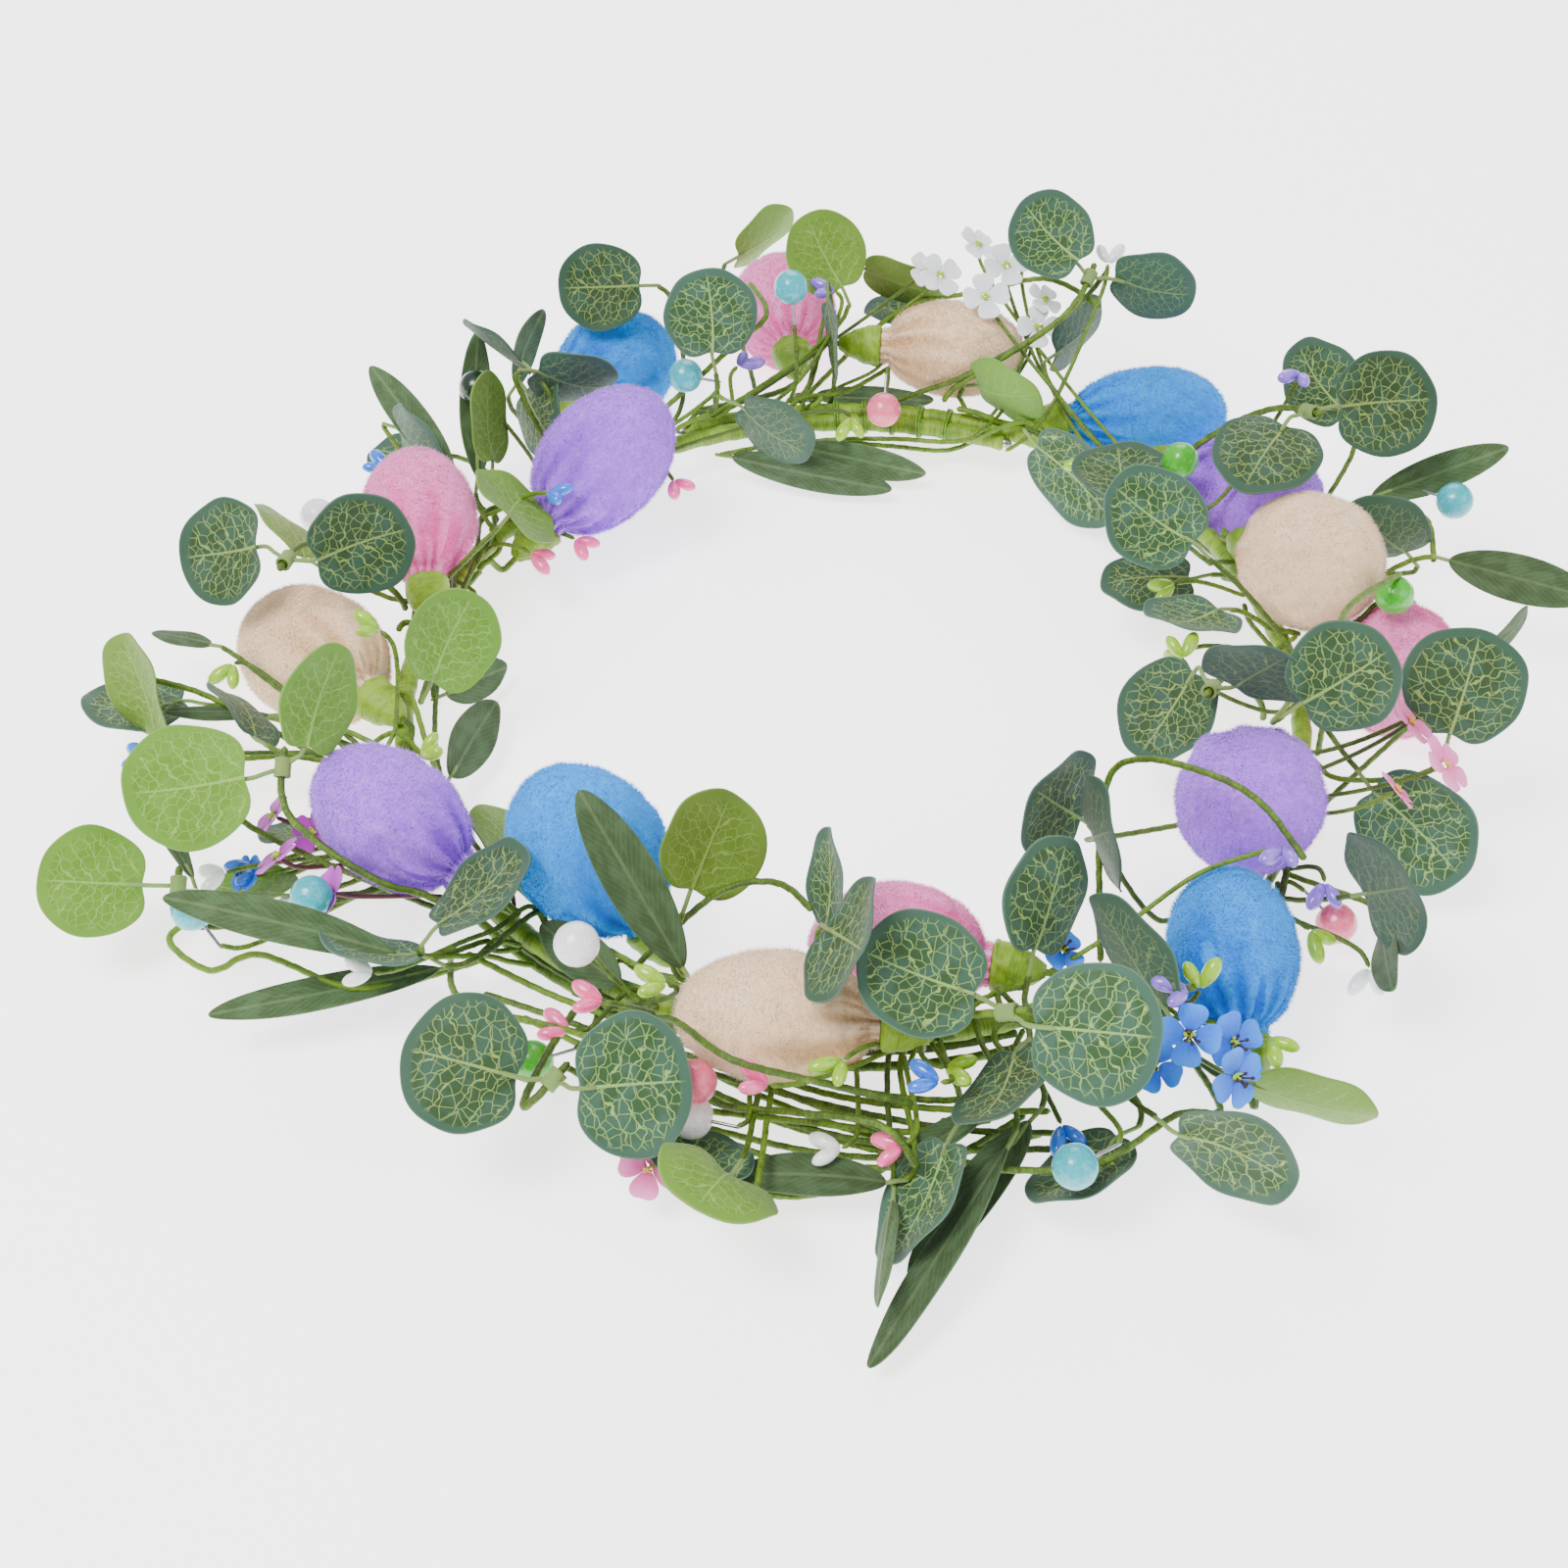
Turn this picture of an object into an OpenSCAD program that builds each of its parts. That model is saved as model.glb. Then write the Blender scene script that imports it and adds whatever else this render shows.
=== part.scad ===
// Easter flower crown: a taped wire hoop dressed with velvet eggs, leaves, berries and florets.
// Places are given by clock: [angle round the hoop, distance out from it, height above it].
// Angle 0 is +X and turns towards +Y; the hoop lies in the XY plane with its centre at the origin.

/* [Hoop] */
// Diameter of the hoop's centreline
hoop_d = 184; // [176:2:200]
// Diameter of the steel hoop wire
wire_d = 2.4; // [2:0.2:3]
// Thickness of the floral tape on the hoop
tape_t = 0.8; // [0.5:0.1:1]

/* [Eggs] */
// Thickness of the velvet cover
velvet_t = 1; // [0.6:0.1:1.4]
// Length of the taped neck behind each egg
neck_len = 10; // [7:1:12]
// Diameter of the taped neck where it meets the velvet
neck_d = 9.6; // [8:0.1:10]

/* [Leaves] */
// Thickness of the leaf cloth
leaf_t = 0.6; // [0.5:0.1:0.8]
// Length of a leaf stalk
stalk_len = 4; // [3:0.5:5]
// Diameter of the twigs
twig_d = 1.4; // [1.2:0.1:1.6]
// Bore of the sleeve that a leaf pair turns on
sleeve_bore = 2; // [1.9:0.1:2.2]

/* [Berries] */
// Diameter of a foam berry
berry_d = 8; // [7:0.5:8.5]
// Diameter of a berry's pin
pin_d = 0.7; // [0.6:0.1:0.8]
// Length of a teardrop bud
bud_len = 6.2; // [5:0.1:7]
// Greatest diameter of a teardrop bud
bud_d = 3.4; // [2.6:0.1:3.6]

/* [Florets] */
// Thickness of a petal
petal_t = 0.5; // [0.4:0.1:0.8]

/* [Hidden] */
$fn = 48;
hoop_r = hoop_d / 2;
tape_r = wire_d / 2 + tape_t;
twig_r = twig_d / 2;
seam_start = 66;   // clock angle where the hoop's wire begins
seam_end = 113;    // clock angle, one turn on, where it ends beside its own start
seam_out = 2 * tape_r + 0.2;   // the end lies this far outside the start
fit = 0.1;         // gap that keeps touching pieces apart
pair_room = 1.6;   // room kept round a swivelling pair as it settles
leaf_room = 0.9;
willow_room = 0.7;
bud_room = 0.8;
berry_room = 0.4;
floret_room = 1.2;
wire_room = 1.3;
stalk_r = 0.5;     // wire stalk of a leaf
tie_t = 0.6;       // thickness of the binding wire
low_z = -8;        // height that only eggs reach below
hoop_clear = 4.6;  // radius round the hoop's centreline that its tape and stems take up
swing_room = 2.6;  // room kept on each side of a leaf that swivels

// Colours
leaf_green = "#5a7a62";
leaf_light = "#94b769";
willow_green = "#6d8368";
stem_green = "#7d9c2e";
blue = "#3ba0f5";
purple = "#b08ae0";
cream = "#ecd9c3";
pink = "#f5a9c4";

// Eggs: [clock angle, out, up, heading from outward, rise, length, diameter,
//        clock angle, out, up of the point where its stem meets the hoop]
// Heading and rise give the way the round end looks.
eggs = [
    [309, 13, 12, 145, 25, 30, 23, 330, 4.5, 3],
    [326, -4, 17, -66, 30, 32, 28, 344, -4, 3],
    [1, 21, 3, -100, 0, 30, 26, 20, 5, 2],
    [12, 6, 17, -72, 25, 32, 28, 30, 3, 4],
    [34, 18, 3, -64, 0, 32, 26, 50, 5, 2],
    [52, 24, 2, -47, 0, 36, 24, 74, 3, 4.5],
    [76, 17, 11, -81, 0, 32, 22, 98, 5, 3],
    [96, 43, 3, 0, 0, 32, 26, 110, 8, 2],
    [116, 31, 3, -71, 0, 30, 26, 136, 5, 2],
    [132, -12, 14, -92, 30, 36, 27, 156, -4, 2],
    [158, 7, 16, -58, 20, 30, 24, 172, 4, 4],
    [177, 20, 4, -40, 0, 34, 28, 200, 5, 2],
    [211, 10, 16, -61, 22, 32, 24, 222, 4, 4],
    [230, -14, 15, -80, 50, 34, 28, 244, -4, 2],
    [261, 9, 15, -86, 0, 34, 23, 278, 3, 5],
    [275, -17, 3, -105, 0, 32, 26, 297, -4, 2]
];

// Leaf rows: [clock angle, out, up, heading from outward, rise, roll, length, width]
left_dark = [
    [184, 43, 4, 10, 10, 15, 21, 22], [195, 27, 16, -75, -5, 55, 18, 18],
    [204, 19, 2, -65, -25, 20, 18, 18], [226, 21, 8, -50, 15, 35, 20, 20],
    [227, 18, 15, 170, 25, -25, 22, 22], [151, 25, 12, 160, 5, 95, 20, 20],
    [141, 28, 3, 15, -15, 5, 18, 18]
];
left_light = [
    [190, 47, 10, -70, 50, -70, 21, 20], [208, 31, 0, -50, -15, 20, 18, 20],
    [220, -4, 2, -125, -5, 45, 18, 18], [187, -6, 10, -130, 40, 60, 21, 21],
    [166, 26, 12, -40, 5, 45, 20, 14], [142, 9, 10, -50, 50, 70, 21, 19],
    [157, -10, 14, -75, -20, 40, 20, 22], [248, -10, 20, 172, 40, 55, 20, 22]
];
back_dark = [
    [113, 27, 26, 70, 0, -55, 20, 20], [109, -1, 22, -10, 60, 10, 20, 22],
    [132, 16, 24, 5, 5, -125, 18, 20], [133, 10, 26, -115, -25, 115, 20, 20],
    [131, 20, 15, 165, -10, 70, 18, 20], [107, -7, 12, -130, -25, 100, 20, 20],
    [80, 36, 6, 70, -5, 5, 18, 18], [64, 18, 14, -15, 5, 95, 20, 20],
    [90, 16, 22, -170, -50, 90, 20, 14]
];
back_light = [
    [100, 60, 8, -60, 10, 110, 20, 20], [90, 24, 20, 45, 50, -15, 20, 20],
    [88, 40, 16, -105, -10, 110, 21, 16], [70, 8, 8, -115, 20, 110, 20, 20],
    [302, 31, 8, 40, 0, 105, 22, 18], [260, 34, 6, -10, 35, -15, 20, 22]
];
right_dark = [
    [60, -6, 6, -105, -20, 80, 26, 20], [35, -19, 16, 55, 0, 0, 21, 22],
    [13, -20, 24, 140, 25, -20, 22, 23], [20, -14, 8, 160, -5, 0, 20, 20],
    [29, 32, 24, 105, 35, -10, 20, 20], [15, 32, 8, 165, 45, 75, 20, 20],
    [342, 26, 20, 85, 50, 15, 22, 24], [339, 14, 10, -25, -20, 70, 25, 24],
    [323, 22, 12, -35, 50, 100, 22, 24], [6, -16, 14, -145, 20, 10, 20, 20],
    [332, -1, 36, 40, 35, 60, 20, 22], [309, -26, 14, -95, 50, -75, 20, 22],
    [306, -20, 16, -30, 50, 100, 20, 22], [289, 0, 16, 140, 45, 55, 22, 20]
];
front_dark = [
    [297, 22, 18, -168, 35, -95, 24, 20], [293, 39, 12, 40, -5, 85, 22, 20],
    [291, 32, 2, -75, -10, 35, 20, 20], [284, 18, 14, -40, 5, 40, 20, 18],
    [266, 1, 30, 25, 35, 50, 20, 23], [266, -6, 22, -175, 50, -70, 18, 16],
    [260, 35, 3, -130, -10, 20, 18, 18], [277, 27, 2, -35, -20, 45, 24, 20]
];
willow_left = [
    [224, 24, 10, -45, 20, -20, 42, 8], [225, 17, 1, -30, 0, -15, 42, 7],
    [188, 26, 8, 0, 10, 10, 20, 5], [178, 40, 8, -30, -15, 5, 18, 5],
    [202, 46, -2, -80, 35, 40, 20, 6], [181, -5, -1, -130, -15, 65, 18, 9],
    [197, -6, -1, -125, 0, 50, 23, 10], [149, 8, 16, -25, 10, -10, 38, 8],
    [142, 14, 4, -50, 30, 30, 36, 8], [130, 28, 10, -50, 5, 60, 28, 7]
];
willow_right = [
    [108, 0, -2, -120, -5, 60, 38, 8], [97, -2, -2, -110, -5, 70, 30, 8],
    [91, 14, 5, -95, 0, 90, 28, 7], [22, 30, 14, -20, 25, 50, 30, 8],
    [11, 36, 14, -35, 0, 50, 30, 10], [0, 38, 10, 50, 0, 75, 18, 5],
    [325, 26, 4, -65, 20, 70, 26, 8], [251, 3, 16, -120, 40, -20, 36, 10],
    [243, -3, -2, -95, 20, -20, 18, 9], [272, 30, 0, -95, 0, -10, 27, 8],
    [272, 34, -2, -10, 15, 55, 26, 5], [281, 31, 6, -45, -15, 30, 44, 8],
    [284, 25, 2, -55, -18, 10, 34, 9], [282, 19, 2, -75, -15, 20, 22, 7]
];

// Swivelling leaf pairs: [clock angle, out, up of the sleeve, its heading and rise,
//                         clock angle, out, up where its twig leaves the hoop, leaf rows]
pair_left_tip = [206, 49, 7, -115, 30, 214, 5, 0,
    [[205, 54, 7, -15, 15, -35, 20, 21]]];
pair_left_front = [207, 24, 25, -120, 35, 222, 8, 4,
    [[207, 30, 25, -10, 5, -30, 23, 24], [207, 20, 27, -140, 40, 70, 21, 18]]];
pair_left = [178, 21, 31, 80, 10, 168, 4, 4,
    [[176, 26, 31, -10, -20, -45, 20, 22], [178, 16, 31, -160, 10, 75, 21, 22]]];
pair_front_left = [245, 33, 15, 160, 20, 240, 7, 2,
    [[243, 35, 15, -70, 15, -30, 21, 24], [247, 34, 16, 118, 0, 45, 20, 25]]];
pair_front_right = [282, 19, 27, 60, 25, 276, 7, 4,
    [[280, 16, 28, -115, 15, -15, 22, 23], [283, 24, 29, 66, 5, 60, 22, 25]]];
pair_right_inner = [338, -19, 25, -95, 20, 352, -8, 2,
    [[337, -15, 28, -30, 55, 130, 20, 22], [345, -23, 22, -120, -40, 10, 21, 22]]];
pair_back_right = [27, 17, 34, -80, 20, 42, 4, 4,
    [[27, 12, 34, -150, -10, 0, 22, 23], [26, 22, 35, -40, 15, 70, 21, 23]]];
pair_back = [62, 27, 31, 0, 30, 76, 4, 5,
    [[63, 26, 34, 85, 35, -30, 20, 20], [60, 29, 31, -75, -5, 100, 20, 20]]];

// Loose twigs and tendrils: routes of [clock angle, out, up] points
left_routes = [
    [[226, 8, -2], [222, 30, 1], [214, 41, 2], [213, 50, 1], [209, 54, 2], [208, 47, 3]],
    [[196, 8, -2], [190, 24, 6], [186, 40, 12], [184, 57, 14]],
    [[218, 8, 0], [204, 34, 13], [194, 37, 13], [190, 45, 11]]
];
back_routes = [
    [[118, 8, 1], [105, 8, 18], [100, 12, 23], [101, 24, 24]],
    [[84, 6, 1], [70, 8, 16], [63, 22, 24], [61, 34, 30]],
    [[96, 8, 0], [84, 34, 8], [75, 38, 14], [67, 30, 26], [60, 26, 25]]
];
right_routes = [
    [[20, 9, -3], [21, 30, 6], [18, 38, 13], [12, 34, 12]],
    [[346, 3, 3], [344, 2, 34], [352, 4, 34], [3, 18, 26]],
    [[300, -4, 2], [311, -22, 28], [314, 2, 39], [317, 15, 26]],
    [[303, 6, -4], [299, 34, 4], [294, 36, 10], [287, 38, 6], [280, 33, 3]]
];
front_routes = [
    [[242, -5, 2], [251, -12, 20], [259, -12, 26], [264, -3, 30]],
    [[246, 9, 3], [252, 16, 18], [259, 27, 25], [266, 26, 20], [274, 23, 10]],
    [[248, 8, -3], [256, 17, -1], [263, 22, 6], [271, 27, 10], [274, 32, 4]],
    [[222, 11, -5], [232, 23, 8], [242, 18, 8], [250, 14, 2]],
    [[254, 34, 1], [264, 33, -3], [272, 24, -6], [278, 14, -7]],
    [[226, 12, 3], [236, 9, 2], [246, 7, 1], [256, 8, 0], [266, 12, -1], [276, 15, -2], [287, 20, -2]],
    [[230, 15, 0], [240, 11, 0], [250, 9, -3], [260, 10, -4], [270, 14, -4], [279, 19, -4], [288, 24, -4]],
    [[238, 7, 3], [248, 7, 4], [258, 9, 3], [268, 13, 2], [277, 15, 0], [286, 16, -1]],
    [[248, 10, 2], [257, 12, 2], [265, 16, 1], [271, 20, 0], [276, 25, -2]],
    [[252, 7, -5], [261, 11, -6], [270, 17, -6], [278, 22, -6], [286, 22, -5]],
    [[234, 13, -3], [244, 12, -4], [254, 13, -5], [263, 16, -6], [272, 21, -6], [281, 26, -6]],
    [[258, 22, -5], [264, 25, -5], [270, 25, -5], [277, 24, -5], [285, 18, -4]],
    [[240, 16, -6], [249, 18, -7], [258, 19, -7], [267, 21, -7], [276, 22, -7], [284, 20, -6]],
    [[244, 10, -1], [253, 13, -2], [262, 17, -3], [270, 20, -4], [278, 23, -4], [286, 27, -3]],
    [[250, 20, -3], [258, 18, -2], [266, 18, -2], [274, 19, -3], [282, 17, -5]]
];

// Stems taped along the hoop: [first angle, last angle, out, up]
bundle_runs = [
    [118, 166, 2.4, -3.0], [152, 206, 0, -4.2], [196, 246, 2.4, -3.0],
    [222, 288, 0, -4.2], [252, 302, 2.6, -5.4], [290, 336, 2.4, -3.0],
    [318, 372, 0, -4.2], [362, 406, 2.4, -3.0]
];

// Foam berries: [clock angle, out, up, heading and rise of the pin]
teal_spots = [
    [215, 30, 13, -60, -30], [210, 49, 10, 110, -40], [97, 10, 31, 180, -50],
    [112, 6, 14, -100, -20], [17, 43, 18, 120, -10], [285, 40, 10, 100, 10]
];
pink_spots = [[84, -7, 9, 0, 40], [256, 24, 14, -100, -10], [325, 18, -2, 170, 20]];
white_spots = [[243, 16, 30, -160, -50], [255, 24, 3, 90, 0], [158, 33, 8, 170, -20]];
green_spots = [[36, -3, 19, 90, -50], [2, 17, 22, 100, -50], [239, 22, 0, 150, -10]];
forest_spots = [[136, 24, 18, 180, -30]];

// Teardrop buds in pairs: [clock angle, out, up of the wire's tip, heading and rise of the pair]
lime_pairs = [
    [181, 34, 9, 60, -30], [185, 2, 23, 0, 30], [199, -2, 9, 170, 40], [89, -6, 6, 180, -35],
    [251, 12, 22, -70, 10], [268, 21, 20, -40, 0], [277, 18, 13, 60, 20], [48, -11, 13, 170, -10],
    [15, -22, 13, 170, -30], [4, -23, 6, 170, -50], [351, -26, 18, 100, 20],
    [300, 22, 21, 150, 60], [318, 18, 8, 0, -30], [305, 30, 9, 0, 0], [343, 20, 24, 60, 0]
];
blue_pairs = [
    [192, 49, 9, -20, -10], [149, 27, 10, 10, 10], [146, -14, 17, 180, 20], [206, 34, 5, 0, 0],
    [276, 24, 17, -110, 0], [287, 25, 0, 0, -10]
];
pink_pairs = [
    [123, -21, 8, 180, 0], [152, -14, 6, -170, -20], [143, -17, 3, 180, -10],
    [246, 18, 20, -70, 10], [242, 18, 8, -80, 0], [262, 26, 18, -90, 20], [273, 29, 7, -90, -20]
];
violet_pairs = [
    [91, 20, 23, 90, 10], [105, 3, 16, -60, 0], [31, 20, 38, -150, 10], [315, 12, 30, -60, 10],
    [325, 14, 7, -60, -20], [298, 23, 24, -100, 10]
];
white_pairs = [
    [225, 30, 13, -50, 0], [207, 42, 9, -20, -20], [319, 30, 5, -60, -20], [268, 26, 2, -90, -10],
    [61, 33, 32, 20, 20]
];

// Florets: [clock angle, out, up, heading and rise that the face looks, petals, diameter]
white_florets = [
    [79, 26, 24, -130, 55, 4, 11], [72, 30, 27, -140, 60, 4, 11], [76, 40, 25, -100, 60, 4, 10],
    [73, 19, 25, -150, 50, 4, 11], [69, 21, 17, -160, 40, 4, 10], [81, 34, 20, -120, 50, 4, 10],
    [71, 40, 24, -60, 60, 4, 10], [67, 27, 22, -90, 60, 4, 9]
];
magenta_florets = [
    [203, 28, 10, -30, 40, 4, 10], [209, 31, 12, -60, 50, 4, 10], [213, 23, 14, -20, 40, 4, 11],
    [205, 22, 7, 30, 50, 4, 9]
];
blue_florets = [
    [297, 28, 19, -40, 45, 4, 11], [301, 30, 14, 0, 45, 4, 11], [295, 26, 11, -60, 30, 4, 10],
    [299, 36, 14, 10, 30, 4, 11], [294, -4, 10, 30, 60, 4, 9], [206, 36, 4, 0, 50, 4, 8]
];
pink_florets = [
    [341, 18, 24, 20, 50, 4, 11], [338, 26, 21, 10, 50, 5, 12], [253, 34, 0, 0, 50, 4, 11],
    [335, 19, 17, 40, 40, 5, 9]
];

// Point and direction helpers
function clock(p) = [(hoop_r + p[1]) * cos(p[0]), (hoop_r + p[1]) * sin(p[0]), p[2]];
function look(angle, heading, rise) =
    [cos(rise) * cos(angle + heading), cos(rise) * sin(angle + heading), sin(rise)];
function unit(v) = v / norm(v);

// A curve through hand-placed points, and one pulled by two handles
function spline_point(a, b, c, d, t) =
    0.5 * (2 * b + (c - a) * t + (2 * a - 5 * b + 4 * c - d) * t * t
           + (3 * b - a - 3 * c + d) * t * t * t);
function spline(pts, steps) = let (last = len(pts) - 1) concat(
    [for (i = [0:last - 1]) for (k = [0:steps - 1])
        spline_point(pts[max(i - 1, 0)], pts[i], pts[i + 1], pts[min(i + 2, last)], k / steps)],
    [pts[last]]);
function bezier(a, b, c, d, steps) = [for (k = [0:steps]) let (t = k / steps, s = 1 - t)
    s * s * s * a + 3 * s * s * t * b + 3 * s * t * t * c + t * t * t * d];

// Frames that turn as little as they can along a path
function tangent(path, i) =
    unit(path[min(i + 1, len(path) - 1)] - path[max(i - 1, 0)]);
function flat_to(v, t) = unit(v - (v * t) * t);
function sides_of(path, i, before) = i >= len(path) ? [] :
    let (t = tangent(path, i), n = flat_to(before, t)) concat([n], sides_of(path, i + 1, n));
function first_side(t) = flat_to(abs(t[2]) < 0.8 ? [0, 0, 1] : [1, 0, 0], t);

// A round-sectioned stem along a path
module stem(path, r, sides = 6) {
    rings = len(path);
    normals = sides_of(path, 0, first_side(tangent(path, 0)));
    points = [for (i = [0:rings - 1]) for (k = [0:sides - 1])
        let (a = 360 * k / sides, n = normals[i], m = cross(tangent(path, i), n))
            path[i] + r * (cos(a) * n + sin(a) * m)];
    walls = [for (i = [0:rings - 2]) for (k = [0:sides - 1]) let (n = (k + 1) % sides) each
        [[i * sides + k, (i + 1) * sides + k, i * sides + n],
         [i * sides + n, (i + 1) * sides + k, (i + 1) * sides + n]]];
    ends = [[for (k = [0:sides - 1]) k], [for (k = [sides - 1:-1:0]) (rings - 1) * sides + k]];
    polyhedron(points, concat(walls, ends));
}

// Puts children at a clock place, with +X along a heading and rise, rolled about it
module at(p, roll = 0) {
    rotate([0, 0, p[0]]) translate([hoop_r + p[1], 0, p[2]])
        rotate([0, 0, p[3]]) rotate([0, -p[4], 0]) rotate([roll, 0, 0]) children();
}

// A straight round rod between two points
module rod(a, b, r) {
    v = b - a;
    translate(a) rotate([0, acos(v[2] / norm(v)), atan2(v[1], v[0])])
        cylinder(h = norm(v), r = r, $fn = 24);
}

// Soft pieces are moved aside until they clear the eggs, the hoop and the table. An egg, its neck
// and a leaf that swivels each count as an ellipsoid: [centre, axis, half length, half width].
function axis_of(p) = look(p[0], p[3], p[4]);
egg_lumps = [for (e = eggs) let (u = axis_of(e)) each [
    [clock(e), u, e[5] / 2, e[6] / 2],
    [clock(e) - u * (e[5] / 2 + 2 + neck_len / 2), u, neck_len / 2 + 2, neck_d / 2]]];

function out_of_lump(p, m, gap) = let (v = p - m[0]) norm(v) > max(m[2], m[3]) + gap ? [0, 0, 0] :
    let (along = v * m[1], wide = norm(v - along * m[1]) / (m[3] + gap),
         k = norm([along / (m[2] + gap), wide])) k >= 1 ? [0, 0, 0] :
    m[2] < m[3] / 2 ? ((m[2] + gap) * sqrt(1 - wide * wide) * (along < 0 ? -1 : 1) - along) * m[1] :
    v * (1 / max(k, 0.2) - 1);
function out_of_hoop(p, gap) = let (flat = norm([p[0], p[1]]), off = flat - hoop_r,
    near = max(norm([off, p[2]]), 0.5), need = hoop_clear + gap)
    near > need ? [0, 0, 0] : [off * p[0] / flat, off * p[1] / flat, p[2]] * (need / near - 1);
function off_table(p, gap) = [0, 0, max(0, low_z + gap - p[2])];
function longest(list) = let (m = max([for (v = list) norm(v)])) [for (v = list) if (norm(v) == m) v][0];
function way_out(p, lumps, gap) = longest(concat([out_of_hoop(p, gap), off_table(p, gap)],
    [for (m = lumps) out_of_lump(p, m, gap)]));

// How far a group of points has to move to clear everything
function settle(points, lumps, gap, tries = 8) =
    let (v = longest([for (p = points) way_out(p, lumps, gap)]))
    tries == 0 || norm(v) < 0.05 ? [0, 0, 0] :
    v + settle([for (p = points) p + v], lumps, gap, tries - 1);

// Points over a leaf: its stalk's end, its middle and its rim
function side_of(p) = let (a = p[0] + p[3], y = [-sin(a), cos(a), 0])
    y * cos(p[5]) + cross(axis_of(p), y) * sin(p[5]);
leaf_marks = [[0.2, 0], [0.5, 0], [0.8, 0], [1, 0], [0.1, 0.6], [0.1, -0.6], [0.35, 1], [0.35, -1],
              [0.65, 1], [0.65, -1], [0.9, 0.6], [0.9, -0.6], [0.5, 0.5], [0.5, -0.5]];
function leaf_points(p) = concat([clock(p) - axis_of(p) * stalk_len], [for (m = leaf_marks)
    clock(p) + axis_of(p) * m[0] * p[6] + side_of(p) * m[1] * p[7] / 2]);

function leaf_lump(l, shift, room) =
    [clock(l) + shift + axis_of(l) * l[6] / 2, cross(axis_of(l), side_of(l)), room, max(l[6], l[7]) / 2];

// Swivelling pairs settle first, each as a whole, and keep room for their swing
function pair_shift(p) = settle([for (l = p[8]) each leaf_points(l)], egg_lumps, pair_room);
all_pairs = [pair_left_tip, pair_left_front, pair_left, pair_front_left,
             pair_front_right, pair_right_inner, pair_back_right, pair_back];
swing_lumps = [for (p = all_pairs) let (shift = pair_shift(p)) each concat(
    [[clock(p) + shift, [0, 0, 1], 3, 3]], [for (l = p[8]) leaf_lump(l, shift, swing_room)])];
all_lumps = concat(egg_lumps, swing_lumps);

// Then the berries, the fixed leaves, and last the buds and florets among them
function berry_shift(b) = settle([clock(b)], all_lumps, berry_d / 2 + berry_room);
all_berries = concat(teal_spots, pink_spots, white_spots, green_spots, forest_spots);
berry_lumps = [for (b = all_berries) [clock(b) + berry_shift(b), [0, 0, 1], berry_d / 2, berry_d / 2]];
firm_lumps = concat(all_lumps, berry_lumps);

function leaf_shift(p) = settle(leaf_points(p), firm_lumps, leaf_room);
round_leaf_rows = concat(left_dark, left_light, back_dark, back_light, right_dark, front_dark);
piece_lumps = concat(firm_lumps, [for (l = round_leaf_rows) leaf_lump(l, leaf_shift(l), berry_room)]);

function willow_shift(p) = settle(leaf_points(p), piece_lumps, willow_room);
function bud_shift(b) =
    settle([for (x = [1, 4]) clock(b) + axis_of(b) * x], piece_lumps, bud_d / 2 + bud_room);
function floret_shift(f) = let (x = axis_of(f), y = side_of([f[0], 0, 0, f[3], f[4], 0]), z = cross(x, y))
    settle([for (a = [0:60:300]) clock(f) + f[6] / 2 * (cos(a) * y + sin(a) * z)], firm_lumps, floret_room);

// Half of the outline of an egg that lies along X, blunt at its stem end
function egg_line(length, d) = [for (a = [0:12:180])
    [d / 2 * sin(a) * (1 - 0.07 * cos(a)), length / 2 * cos(a)]];

module egg_solid(length, d) {
    rotate([0, 90, 0]) rotate_extrude() polygon(egg_line(length, d));
}

// The strand starts at one side of the seam, runs once round, then swings out to lie beside its start
function swing(a) = let (t = min(max((a - seam_start - 300) / 50, 0), 1)) seam_out * t * t * (3 - 2 * t);
function strand(first, last) = let (steps = ceil((last - first) / 6)) [for (k = [0:steps])
    let (a = first + (last - first) * k / steps) clock([a, swing(a), 0])];

module hoop_wire() {
    color("silver") stem(strand(seam_start - 1, seam_end + 361), wire_d / 2, 8);
}

module hoop_tape() {
    color(stem_green) difference() {
        stem(strand(seam_start, seam_end + 360), tape_r, 8);
        stem(strand(seam_start - 1, seam_end + 361), wire_d / 2, 8);
    }
}

// Five turns of thin binding wire round both strands where the hoop closes
module closing_ties() {
    tie_angles = [75, 79, 83, 87, 91];
    color(stem_green) for (a = tie_angles) rotate([0, 0, a])
        translate([hoop_r, 0, 0]) rotate([90, 0, 0]) linear_extrude(1, center = true)
            difference() {
                tie_outline(tape_r + fit + tie_t);
                tie_outline(tape_r + fit);
            }
}

module tie_outline(r) {
    circle(r);
    translate([seam_out, 0]) circle(r);
    translate([0, -r]) square([seam_out, 2 * r]);
}

module bundle_stems() {
    color(stem_green) for (b = bundle_runs)
        stem([for (k = [0:10]) clock([b[0] + (b[1] - b[0]) * k / 10,
            b[2], b[3]])], 0.9);
}

// The velvet cover: a shell with a short gathered collar at the stem end
module egg_cover(e, tint) {
    color(tint) at(e) difference() {
        union() {
            egg_solid(e[5], e[6]);
            translate([-e[5] / 2 - 1.5, 0, 0]) rotate([0, 90, 0]) cylinder(h = 4, r = neck_d / 2 - 1);
        }
        egg_solid(e[5] - 2 * velvet_t, e[6] - 2 * velvet_t);
    }
}

module egg_cores() {
    color("white") for (e = eggs) at(e)
        egg_solid(e[5] - 2 * velvet_t - fit, e[6] - 2 * velvet_t - fit);
}

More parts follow.
